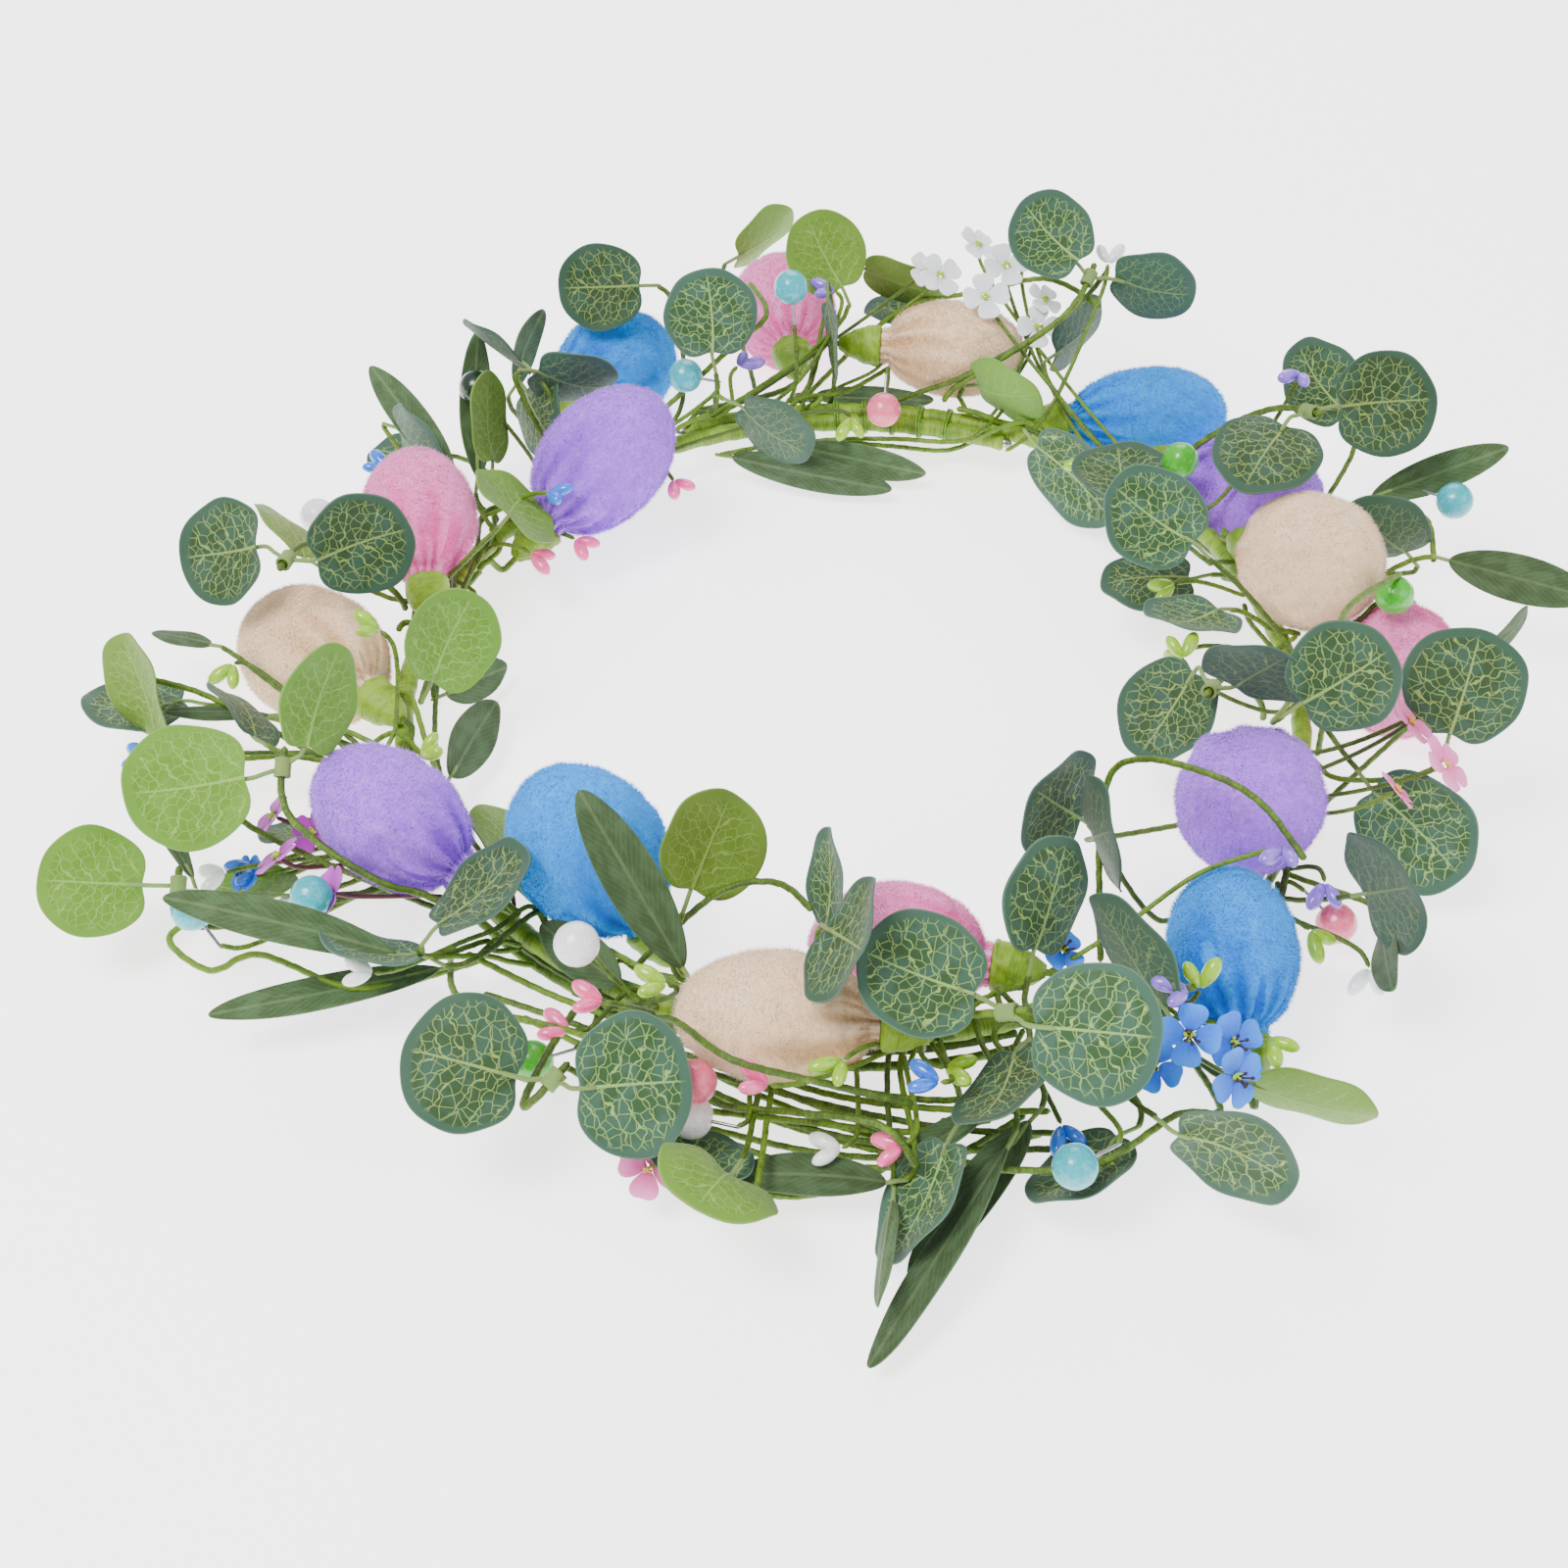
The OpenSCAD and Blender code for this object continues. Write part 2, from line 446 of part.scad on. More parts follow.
// Tape that binds the gathered velvet to the stem wire
module egg_necks() {
    color(stem_green) for (e = eggs) at(e) translate([-e[5] / 2 - 1.6, 0, 0])
        rotate([0, -90, 0]) rotate_extrude() polygon([
            [twig_r, 0], [neck_d / 2, 0], [neck_d / 2 - 0.4, neck_len * 0.4],
            [neck_d / 2 - 1.8, neck_len * 0.8], [twig_r + 0.3, neck_len], [twig_r, neck_len]]);
}

module egg_stems() {
    color(stem_green) for (e = eggs) {
        way = look(e[0], e[3], e[4]);
        start = clock(e) - way * (e[5] / 2 + 2);
        foot = clock([e[7], e[8], e[9]]);
        side = cross([0, 0, 1], unit([foot[0], foot[1], 0]));
        turn = side * (start - foot) > 0 ? 1 : -1;
        exit = start - way * (neck_len + 1);
        stem(concat([start], bezier(exit, exit - way * 6, foot + side * turn * 9, foot, 6)),
            twig_r - 0.05, 5);
    }
}

// Keeps the middle of a wire clear of the eggs, the berries and the swivelling leaves
function clear_point(p, lumps) = p + settle([p], lumps, wire_room, 4);
function clear_path(path, lumps) = let (last = len(path) - 1)
    [for (i = [0:last]) i == 0 || i == last ? path[i] : clear_point(path[i], lumps)];

module routes(list) {
    color(stem_green) for (r = list)
        stem(clear_path(spline([for (p = r) clock(p)], 3), all_lumps), twig_r * 0.9, 5);
}

// Where the nth wire meets the hoop: all round it and on top of each other
function foot(n, angle) = let (turn = (n * 67) % 260 - 40, far = tape_r + 0.4 + 1.1 * (n % 3))
    clock([angle, far * cos(turn), far * sin(turn)]);

// A wire's way from behind a piece to the hoop, bent by two handles of a given length
function wire_way(start, way, n, angle, from, steps) = let (end = foot(n, angle),
    along = [-sin(angle), cos(angle), 0] * (angle > from ? -1 : 1))
    bezier(start, start - way * 7, end + along * 9, end, steps);
function buried(path) = norm([for (p = path) norm(way_out(p, egg_lumps, 1.2))]);

// Among a few places on the hoop, a wire goes to the one that it reaches with the least in its way
wire_leads = [12, -12, 20, -20, 4, 28, -28, 38, -38];
function best_lead(start, way, n, from) = let (
    costs = [for (lead = wire_leads) buried(wire_way(start, way, n, from + lead, from, 14))
        + abs(lead) * 0.05],
    least = min(costs)) [for (k = [0:len(costs) - 1]) if (costs[k] == least) wire_leads[k]][0];

// A thin wire from behind a piece that has moved by a shift, back to the hoop
module wire(p, shift, back, r, n, sides = 5) {
    way = axis_of(p);
    start = clock(p) + shift - way * back;
    path = wire_way(start, way, n, p[0] + best_lead(start, way, n, p[0]), p[0], 6);
    color(stem_green) stem(clear_path(path, firm_lumps), r, sides);
}

module leaf_wires(list) {
    for (n = [0:len(list) - 1]) wire(list[n], leaf_shift(list[n]), stalk_len - 1, twig_r * 0.8, n);
}

module willow_wires(list) {
    for (n = [0:len(list) - 1]) wire(list[n], willow_shift(list[n]), stalk_len - 1, twig_r * 0.8, n);
}

module left_twigs() {
    routes(left_routes);
    leaf_wires(concat(left_dark, left_light));
    willow_wires(willow_left);
}

module back_twigs() {
    routes(back_routes);
    leaf_wires(concat(back_dark, back_light));
}

module right_twigs() {
    routes(right_routes);
    leaf_wires(right_dark);
}

module front_twigs() {
    routes(front_routes);
    leaf_wires(front_dark);
    willow_wires(willow_right);
}

all_buds = concat(lime_pairs, blue_pairs, pink_pairs, violet_pairs, white_pairs);

// The wires that carry the buds, and the berries' pins where they leave the foam
module pick_wires() {
    for (n = [0:len(all_buds) - 1]) wire(all_buds[n], bud_shift(all_buds[n]), 0, twig_r * 0.7, n, 4);
    for (n = [0:len(all_berries) - 1]) let (b = all_berries[n])
        wire([b[0], b[1], b[2], b[3] + 180, -b[4]], berry_shift(b), berry_d / 2 + 4, twig_r * 0.7, n, 4);
}

// Twigs that leave the hoop and run straight through the sleeve of a leaf pair
module pair_twigs() {
    color(stem_green) for (p = all_pairs) {
        sleeve = clock(p) + pair_shift(p);
        way = axis_of(p);
        root = clock([p[5], p[6], p[7]]);
        near = sleeve - way * 4;
        rise = bezier(root, root + [0, 0, 6], near - way * 12, near, 7);
        stem(concat(clear_path(rise, egg_lumps), [sleeve, sleeve + way * 4]), twig_r);
    }
}

// Flat outline of a round leaf with a notch at its stalk
function round_outline(length, width) = concat([[length * 0.08, 0]],
    [for (a = [20:20:340]) [length * (1 - cos(a)) / 2, width / 2 * sin(a)]]);

// Flat outline of a long leaf, widest past its middle
function willow_outline(length, width) = [for (a = [0:24:336])
    [length * (1 - cos(a)) / 2, width / 2 * sin(a) * (0.75 + 0.25 * abs(sin(a)))]];

module blade(outline) {
    translate([0, 0, -leaf_t / 2]) linear_extrude(leaf_t) polygon(outline);
}

module round_leaf(p) {
    translate(leaf_shift(p)) at(p, p[5]) {
        blade(round_outline(p[6], p[7]));
        translate([-stalk_len, 0, 0]) rotate([0, 90, 0])
            cylinder(h = stalk_len + p[6] * 0.3, r = stalk_r, $fn = 16);
    }
}

module willow_leaf(p) {
    translate(willow_shift(p)) at(p, p[5]) {
        blade(willow_outline(p[6], p[7]));
        translate([-stalk_len, 0, 0]) rotate([0, 90, 0])
            cylinder(h = stalk_len + 4, r = stalk_r, $fn = 16);
    }
}

module round_leaves(list, tint) color(tint) for (p = list) round_leaf(p);
module willow_leaves() color(willow_green) for (p = concat(willow_left, willow_right)) willow_leaf(p);

module left_dark_leaves() round_leaves(left_dark, leaf_green);
module left_light_leaves() round_leaves(left_light, leaf_light);
module back_dark_leaves() round_leaves(back_dark, leaf_green);
module light_leaves() round_leaves(back_light, leaf_light);
module right_dark_leaves() round_leaves(right_dark, leaf_green);
module front_dark_leaves() round_leaves(front_dark, leaf_green);

// A moulded sleeve with its one or two leaves, free to turn on its twig
module leaf_pair(p, tint) {
    sleeve = clock(p);
    color(tint) translate(pair_shift(p)) difference() {
        union() {
            at(p) rotate([0, 90, 0]) cylinder(h = 3.6, r = sleeve_bore / 2 + 0.6, center = true);
            for (l = p[8]) {
                rod(sleeve, clock(l), stalk_r);
                at(l, l[5]) {
                    blade(round_outline(l[6], l[7]));
                    rotate([0, 90, 0]) cylinder(h = l[6] * 0.3, r = 0.45, $fn = 16);
                    sphere(0.7, $fn = 16);
                }
            }
        }
        at(p) rotate([0, 90, 0]) cylinder(h = 12, r = sleeve_bore / 2, center = true);
    }
}

module leaf_pair_left_tip() leaf_pair(pair_left_tip, leaf_light);
module leaf_pair_left_front() leaf_pair(pair_left_front, leaf_light);
module leaf_pair_left() leaf_pair(pair_left, leaf_green);
module leaf_pair_front_left() leaf_pair(pair_front_left, leaf_green);
module leaf_pair_front_right() leaf_pair(pair_front_right, leaf_green);
module leaf_pair_right_inner() leaf_pair(pair_right_inner, leaf_green);
module leaf_pair_back_right() leaf_pair(pair_back_right, leaf_green);
module leaf_pair_back() leaf_pair(pair_back, leaf_green);

// Two teardrop buds at the tip of a wire, their thin ends together
module bud_pairs(list, tint) {
    half = [for (a = [0:30:180]) [bud_d / 2 * sin(a) * (1 + 0.25 * cos(a)), bud_len * (cos(a) + 1) / 2]];
    color(tint) for (b = list) for (side = [-1, 1])
        translate(bud_shift(b)) at(b) rotate([0, 0, side * 28]) translate([fit * 4, 0, 0])
            rotate([0, 90, 0]) rotate_extrude($fn = 24) polygon(half);
}

module lime_buds() bud_pairs(lime_pairs, "#9ccb2c");
module blue_buds() bud_pairs(blue_pairs, "#2f74d0");
module pink_buds() bud_pairs(pink_pairs, "#f272a8");
module violet_buds() bud_pairs(violet_pairs, "#9a82d0");
module white_buds() bud_pairs(white_pairs, "white");

// Foam berries, each pushed onto a pin
module berries(list, tint) {
    color(tint) for (b = list) translate(berry_shift(b)) at(b) difference() {
        sphere(d = berry_d);
        rotate([0, 90, 0]) cylinder(h = berry_d, r = pin_d / 2, $fn = 16);
    }
}

module teal_berries() berries(teal_spots, "#5cbcc6");
module pink_berries() berries(pink_spots, "#e88a9f");
module white_berries() berries(white_spots, "#e8e6ea");
module green_berries() {
    berries(green_spots, "#4fb52e");
    berries(forest_spots, "#1f3a28");
}

module berry_pins() {
    color("silver") for (b = all_berries) translate(berry_shift(b)) at(b) translate([fit, 0, 0])
        rotate([0, 90, 0]) cylinder(h = berry_d / 2 + 5, r = pin_d / 2 - 0.02, $fn = 16);
}

// A floret: a ring of round petals cut from one thin sheet, facing along +X
module floret(f) {
    petal_r = f[6] * 0.23;
    translate(floret_shift(f)) at(f) rotate([0, 90, 0]) linear_extrude(petal_t) {
        circle(f[6] * 0.16);
        for (k = [0:f[5] - 1]) rotate(360 * k / f[5]) translate([f[6] / 2 - petal_r, 0]) circle(petal_r);
    }
}

module florets(list, tint) color(tint) for (f = list) floret(f);
module white_florets() florets(white_florets, "#eef0f8");
module magenta_florets() florets(magenta_florets, "#c23bc6");
module blue_florets() florets(blue_florets, "#2f8ceb");
module pink_florets() florets(pink_florets, "#f3b9d0");

all_florets = concat(white_florets, magenta_florets, blue_florets, pink_florets);

module floret_eyes() {
    color("#c2e02a") for (f = all_florets) translate(floret_shift(f)) at(f)
        translate([petal_t, 0, 0]) rotate([0, 90, 0]) cylinder(h = 1, r1 = 1.1, r2 = 0.6, $fn = 24);
}

module floret_stalks() {
    for (n = [0:len(all_florets) - 1])
        wire(all_florets[n], floret_shift(all_florets[n]), 0, 0.45, n, 4);
}

hoop_wire();
hoop_tape();
closing_ties();
bundle_stems();
egg_cover(eggs[0], blue);  // blue_egg_front_right
egg_cover(eggs[1], purple);  // purple_egg_right
egg_cover(eggs[2], pink);  // pink_egg_right
egg_cover(eggs[3], cream);  // cream_egg_right
egg_cover(eggs[4], purple);  // purple_egg_back_right
egg_cover(eggs[5], blue);  // blue_egg_back_right
egg_cover(eggs[6], cream);  // cream_egg_back
egg_cover(eggs[7], pink);  // pink_egg_back
egg_cover(eggs[8], blue);  // blue_egg_back_left
egg_cover(eggs[9], purple);  // purple_egg_back_left
egg_cover(eggs[10], pink);  // pink_egg_left
egg_cover(eggs[11], cream);  // cream_egg_left
egg_cover(eggs[12], purple);  // purple_egg_front_left
egg_cover(eggs[13], blue);  // blue_egg_front_left
egg_cover(eggs[14], cream);  // cream_egg_front
egg_cover(eggs[15], pink);  // pink_egg_front
egg_cores();
egg_necks();
egg_stems();
left_twigs();
back_twigs();
right_twigs();
front_twigs();
pair_twigs();
left_dark_leaves();
left_light_leaves();
back_dark_leaves();
light_leaves();
right_dark_leaves();
front_dark_leaves();
willow_leaves();
leaf_pair_left_tip();
leaf_pair_left_front();
leaf_pair_left();
leaf_pair_front_left();
leaf_pair_front_right();
leaf_pair_right_inner();
leaf_pair_back_right();
leaf_pair_back();
lime_buds();
blue_buds();
pink_buds();
violet_buds();
white_buds();
teal_berries();
pink_berries();
white_berries();
green_berries();
berry_pins();
pick_wires();
white_florets();
magenta_florets();
blue_florets();
pink_florets();
floret_eyes();
floret_stalks();
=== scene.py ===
"""Flower crown: the looks of a taped wire hoop with velvet eggs, leaves, berries and florets.

Places are worked out in millimetres by the same rules as the design, then written in metres.
"""
import math

import bpy
import numpy as np
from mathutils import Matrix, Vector


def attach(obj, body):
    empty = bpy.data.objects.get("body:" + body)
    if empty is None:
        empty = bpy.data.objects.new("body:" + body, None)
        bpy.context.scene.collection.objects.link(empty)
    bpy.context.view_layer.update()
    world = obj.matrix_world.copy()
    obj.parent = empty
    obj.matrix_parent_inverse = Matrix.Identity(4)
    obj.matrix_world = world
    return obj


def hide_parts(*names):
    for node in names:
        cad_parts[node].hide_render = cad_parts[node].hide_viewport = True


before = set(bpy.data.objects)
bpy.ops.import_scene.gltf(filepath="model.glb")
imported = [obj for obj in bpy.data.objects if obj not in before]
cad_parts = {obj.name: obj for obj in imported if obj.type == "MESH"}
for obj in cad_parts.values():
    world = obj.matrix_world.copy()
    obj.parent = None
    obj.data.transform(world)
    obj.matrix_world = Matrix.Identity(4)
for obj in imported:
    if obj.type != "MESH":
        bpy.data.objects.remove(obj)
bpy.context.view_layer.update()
MM = 0.001
rng = np.random.default_rng(11)

# ---------------------------------------------------------------- camera, floor and light


def aim(obj, target):
    obj.rotation_euler = (Vector(target) - obj.location).to_track_quat("-Z", "Y").to_euler()


CAMERA_AIM = Vector((-0.014, -0.028, 0.0))
CAMERA_DISTANCE = 0.465
camera = bpy.data.objects.new("camera", bpy.data.cameras.new("camera"))
bpy.context.scene.collection.objects.link(camera)
camera.data.lens = 53.8
camera.data.sensor_width = 36
camera.data.clip_start = 0.01
camera.location = CAMERA_AIM + CAMERA_DISTANCE * Vector((0, -math.sqrt(0.5), math.sqrt(0.5)))
aim(camera, CAMERA_AIM)
bpy.context.scene.camera = camera


def softbox(name, place, size, watts, colour=(1, 1, 1)):
    light = bpy.data.lights.new(name, "AREA")
    light.shape = "DISK"
    light.size = size
    light.energy = watts
    light.color = colour
    obj = bpy.data.objects.new(name, light)
    bpy.context.scene.collection.objects.link(obj)
    obj.location = place
    aim(obj, (0, 0, 0))


softbox("key_light", (-0.45, -0.30, 1.0), 0.55, 17.0, (1, 0.99, 0.98))
softbox("fill_light", (0.8, -0.5, 0.6), 0.9, 5.0)
softbox("back_light", (0.1, 0.9, 0.7), 0.8, 6.5)
world = bpy.data.worlds.new("studio")
bpy.context.scene.world = world
world.use_nodes = True
world.node_tree.nodes["Background"].inputs["Color"].default_value = (1, 1, 1, 1)
world.node_tree.nodes["Background"].inputs["Strength"].default_value = 0.7

# ---------------------------------------------------------------- where everything is (mm)

HOOP_R = 92.0
WIRE_D = 2.4
TAPE_R = 2.0
NECK_LEN = 10.0
NECK_D = 9.6
STALK = 4.0
TWIG_R = 0.7
BERRY_D = 8.0
BUD_LEN = 6.2
BUD_D = 3.4
SEAM_START = 66
SEAM_END = 113
SEAM_OUT = 2 * TAPE_R + 0.2
SWING_START = 300
SWING_TURN = 50
PIP_SPREAD = 28
LOW_Z = -8
HOOP_CLEAR = 4.6
SWING_ROOM = 2.6

# Every row below starts with a place and a direction: clock angle, way out from the hoop's line, height,
# turn from straight outward, rise. Angles are in degrees and lengths in mm.
EGG_NODES = ["blue_egg_front_right", "purple_egg_right", "pink_egg_right", "cream_egg_right",
             "purple_egg_back_right", "blue_egg_back_right", "cream_egg_back", "pink_egg_back",
             "blue_egg_back_left", "purple_egg_back_left", "pink_egg_left", "cream_egg_left",
             "purple_egg_front_left", "blue_egg_front_left", "cream_egg_front", "pink_egg_front"]
# Then length, width, and where the stem meets the hoop: angle, way out, height
EGGS = [
    [309, 13, 12, 145, 25, 30, 23, 330, 4.5, 3],
    [326, -4, 17, -66, 30, 32, 28, 344, -4, 3],
    [1, 21, 3, -100, 0, 30, 26, 20, 5, 2],
    [12, 6, 17, -72, 25, 32, 28, 30, 3, 4],
    [34, 18, 3, -64, 0, 32, 26, 50, 5, 2],
    [52, 24, 2, -47, 0, 36, 24, 74, 3, 4.5],
    [76, 17, 11, -81, 0, 32, 22, 98, 5, 3],
    [96, 43, 3, 0, 0, 32, 26, 110, 8, 2],
    [116, 31, 3, -71, 0, 30, 26, 136, 5, 2],
    [132, -12, 14, -92, 30, 36, 27, 156, -4, 2],
    [158, 7, 16, -58, 20, 30, 24, 172, 4, 4],
    [177, 20, 4, -40, 0, 34, 28, 200, 5, 2],
    [211, 10, 16, -61, 22, 32, 24, 222, 4, 4],
    [230, -14, 15, -80, 50, 34, 28, 244, -4, 2],
    [261, 9, 15, -86, 0, 34, 23, 278, 3, 5],
    [275, -17, 3, -105, 0, 32, 26, 297, -4, 2]
]
# Then roll, length, width
LEAVES = {
    "left_dark_leaves": [
        [184, 43, 4, 10, 10, 15, 21, 22], [195, 27, 16, -75, -5, 55, 18, 18],
        [204, 19, 2, -65, -25, 20, 18, 18], [226, 21, 8, -50, 15, 35, 20, 20],
        [227, 18, 15, 170, 25, -25, 22, 22], [151, 25, 12, 160, 5, 95, 20, 20],
        [141, 28, 3, 15, -15, 5, 18, 18]
    ],
    "left_light_leaves": [
        [190, 47, 10, -70, 50, -70, 21, 20], [208, 31, 0, -50, -15, 20, 18, 20],
        [220, -4, 2, -125, -5, 45, 18, 18], [187, -6, 10, -130, 40, 60, 21, 21],
        [166, 26, 12, -40, 5, 45, 20, 14], [142, 9, 10, -50, 50, 70, 21, 19],
        [157, -10, 14, -75, -20, 40, 20, 22], [248, -10, 20, 172, 40, 55, 20, 22]
    ],
    "back_dark_leaves": [
        [113, 27, 26, 70, 0, -55, 20, 20], [109, -1, 22, -10, 60, 10, 20, 22],
        [132, 16, 24, 5, 5, -125, 18, 20], [133, 10, 26, -115, -25, 115, 20, 20],
        [131, 20, 15, 165, -10, 70, 18, 20], [107, -7, 12, -130, -25, 100, 20, 20],
        [80, 36, 6, 70, -5, 5, 18, 18], [64, 18, 14, -15, 5, 95, 20, 20],
        [90, 16, 22, -170, -50, 90, 20, 14]
    ],
    "light_leaves": [
        [100, 60, 8, -60, 10, 110, 20, 20], [90, 24, 20, 45, 50, -15, 20, 20],
        [88, 40, 16, -105, -10, 110, 21, 16], [70, 8, 8, -115, 20, 110, 20, 20],
        [302, 31, 8, 40, 0, 105, 22, 18], [260, 34, 6, -10, 35, -15, 20, 22]
    ],
    "right_dark_leaves": [
        [60, -6, 6, -105, -20, 80, 26, 20], [35, -19, 16, 55, 0, 0, 21, 22],
        [13, -20, 24, 140, 25, -20, 22, 23], [20, -14, 8, 160, -5, 0, 20, 20],
        [29, 32, 24, 105, 35, -10, 20, 20], [15, 32, 8, 165, 45, 75, 20, 20],
        [342, 26, 20, 85, 50, 15, 22, 24], [339, 14, 10, -25, -20, 70, 25, 24],
        [323, 22, 12, -35, 50, 100, 22, 24], [6, -16, 14, -145, 20, 10, 20, 20],
        [332, -1, 36, 40, 35, 60, 20, 22], [309, -26, 14, -95, 50, -75, 20, 22],
        [306, -20, 16, -30, 50, 100, 20, 22], [289, 0, 16, 140, 45, 55, 22, 20]
    ],
    "front_dark_leaves": [
        [297, 22, 18, -168, 35, -95, 24, 20], [293, 39, 12, 40, -5, 85, 22, 20],
        [291, 32, 2, -75, -10, 35, 20, 20], [284, 18, 14, -40, 5, 40, 20, 18],
        [266, 1, 30, 25, 35, 50, 20, 23], [266, -6, 22, -175, 50, -70, 18, 16],
        [260, 35, 3, -130, -10, 20, 18, 18], [277, 27, 2, -35, -20, 45, 24, 20]
    ],
}
WILLOW = {
    "left": [
        [224, 24, 10, -45, 20, -20, 42, 8], [225, 17, 1, -30, 0, -15, 42, 7],
        [188, 26, 8, 0, 10, 10, 20, 5], [178, 40, 8, -30, -15, 5, 18, 5],
        [202, 46, -2, -80, 35, 40, 20, 6], [181, -5, -1, -130, -15, 65, 18, 9],
        [197, -6, -1, -125, 0, 50, 23, 10], [149, 8, 16, -25, 10, -10, 38, 8],
        [142, 14, 4, -50, 30, 30, 36, 8], [130, 28, 10, -50, 5, 60, 28, 7]
    ],
    "right": [
        [108, 0, -2, -120, -5, 60, 38, 8], [97, -2, -2, -110, -5, 70, 30, 8],
        [91, 14, 5, -95, 0, 90, 28, 7], [22, 30, 14, -20, 25, 50, 30, 8],
        [11, 36, 14, -35, 0, 50, 30, 10], [0, 38, 10, 50, 0, 75, 18, 5],
        [325, 26, 4, -65, 20, 70, 26, 8], [251, 3, 16, -120, 40, -20, 36, 10],
        [243, -3, -2, -95, 20, -20, 18, 9], [272, 30, 0, -95, 0, -10, 27, 8],
        [272, 34, -2, -10, 15, 55, 26, 5], [281, 31, 6, -45, -15, 30, 44, 8],
        [284, 25, 2, -55, -18, 10, 34, 9], [282, 19, 2, -75, -15, 20, 22, 7]
    ],
}
# The sleeve, then where its twig starts (angle, way out, height) and its one or two leaves
PAIRS = {
    "pair_left_tip": [206, 49, 7, -115, 30, 214, 5, 0,
        [[205, 54, 7, -15, 15, -35, 20, 21]]],
    "pair_left_front": [207, 24, 25, -120, 35, 222, 8, 4,
        [[207, 30, 25, -10, 5, -30, 23, 24], [207, 20, 27, -140, 40, 70, 21, 18]]],
    "pair_left": [178, 21, 31, 80, 10, 168, 4, 4,
        [[176, 26, 31, -10, -20, -45, 20, 22], [178, 16, 31, -160, 10, 75, 21, 22]]],
    "pair_front_left": [245, 33, 15, 160, 20, 240, 7, 2,
        [[243, 35, 15, -70, 15, -30, 21, 24], [247, 34, 16, 118, 0, 45, 20, 25]]],
    "pair_front_right": [282, 19, 27, 60, 25, 276, 7, 4,
        [[280, 16, 28, -115, 15, -15, 22, 23], [283, 24, 29, 66, 5, 60, 22, 25]]],
    "pair_right_inner": [338, -19, 25, -95, 20, 352, -8, 2,
        [[337, -15, 28, -30, 55, 130, 20, 22], [345, -23, 22, -120, -40, 10, 21, 22]]],
    "pair_back_right": [27, 17, 34, -80, 20, 42, 4, 4,
        [[27, 12, 34, -150, -10, 0, 22, 23], [26, 22, 35, -40, 15, 70, 21, 23]]],
    "pair_back": [62, 27, 31, 0, 30, 76, 4, 5,
        [[63, 26, 34, 85, 35, -30, 20, 20], [60, 29, 31, -75, -5, 100, 20, 20]]],
}
# Twigs that carry no single leaf, by points: angle, way out, height
ROUTES = {
    "left_twigs": [
        [[226, 8, -2], [222, 30, 1], [214, 41, 2], [213, 50, 1], [209, 54, 2], [208, 47, 3]],
        [[196, 8, -2], [190, 24, 6], [186, 40, 12], [184, 57, 14]],
        [[218, 8, 0], [204, 34, 13], [194, 37, 13], [190, 45, 11]]
    ],
    "back_twigs": [
        [[118, 8, 1], [105, 8, 18], [100, 12, 23], [101, 24, 24]],
        [[84, 6, 1], [70, 8, 16], [63, 22, 24], [61, 34, 30]],
        [[96, 8, 0], [84, 34, 8], [75, 38, 14], [67, 30, 26], [60, 26, 25]]
    ],
    "right_twigs": [
        [[20, 9, -3], [21, 30, 6], [18, 38, 13], [12, 34, 12]],
        [[346, 3, 3], [344, 2, 34], [352, 4, 34], [3, 18, 26]],
        [[300, -4, 2], [311, -22, 28], [314, 2, 39], [317, 15, 26]],
        [[303, 6, -4], [299, 34, 4], [294, 36, 10], [287, 38, 6], [280, 33, 3]]
    ],
    "front_twigs": [
        [[242, -5, 2], [251, -12, 20], [259, -12, 26], [264, -3, 30]],
        [[246, 9, 3], [252, 16, 18], [259, 27, 25], [266, 26, 20], [274, 23, 10]],
        [[248, 8, -3], [256, 17, -1], [263, 22, 6], [271, 27, 10], [274, 32, 4]],
        [[222, 11, -5], [232, 23, 8], [242, 18, 8], [250, 14, 2]],
        [[254, 34, 1], [264, 33, -3], [272, 24, -6], [278, 14, -7]],
        [[226, 12, 3], [236, 9, 2], [246, 7, 1], [256, 8, 0], [266, 12, -1], [276, 15, -2], [287, 20, -2]],
        [[230, 15, 0], [240, 11, 0], [250, 9, -3], [260, 10, -4], [270, 14, -4], [279, 19, -4],
         [288, 24, -4]],
        [[238, 7, 3], [248, 7, 4], [258, 9, 3], [268, 13, 2], [277, 15, 0], [286, 16, -1]],
        [[248, 10, 2], [257, 12, 2], [265, 16, 1], [271, 20, 0], [276, 25, -2]],
        [[252, 7, -5], [261, 11, -6], [270, 17, -6], [278, 22, -6], [286, 22, -5]],
        [[234, 13, -3], [244, 12, -4], [254, 13, -5], [263, 16, -6], [272, 21, -6], [281, 26, -6]],
        [[258, 22, -5], [264, 25, -5], [270, 25, -5], [277, 24, -5], [285, 18, -4]],
        [[240, 16, -6], [249, 18, -7], [258, 19, -7], [267, 21, -7], [276, 22, -7], [284, 20, -6]],
        [[244, 10, -1], [253, 13, -2], [262, 17, -3], [270, 20, -4], [278, 23, -4], [286, 27, -3]],
        [[250, 20, -3], [258, 18, -2], [266, 18, -2], [274, 19, -3], [282, 17, -5]]
    ],
}
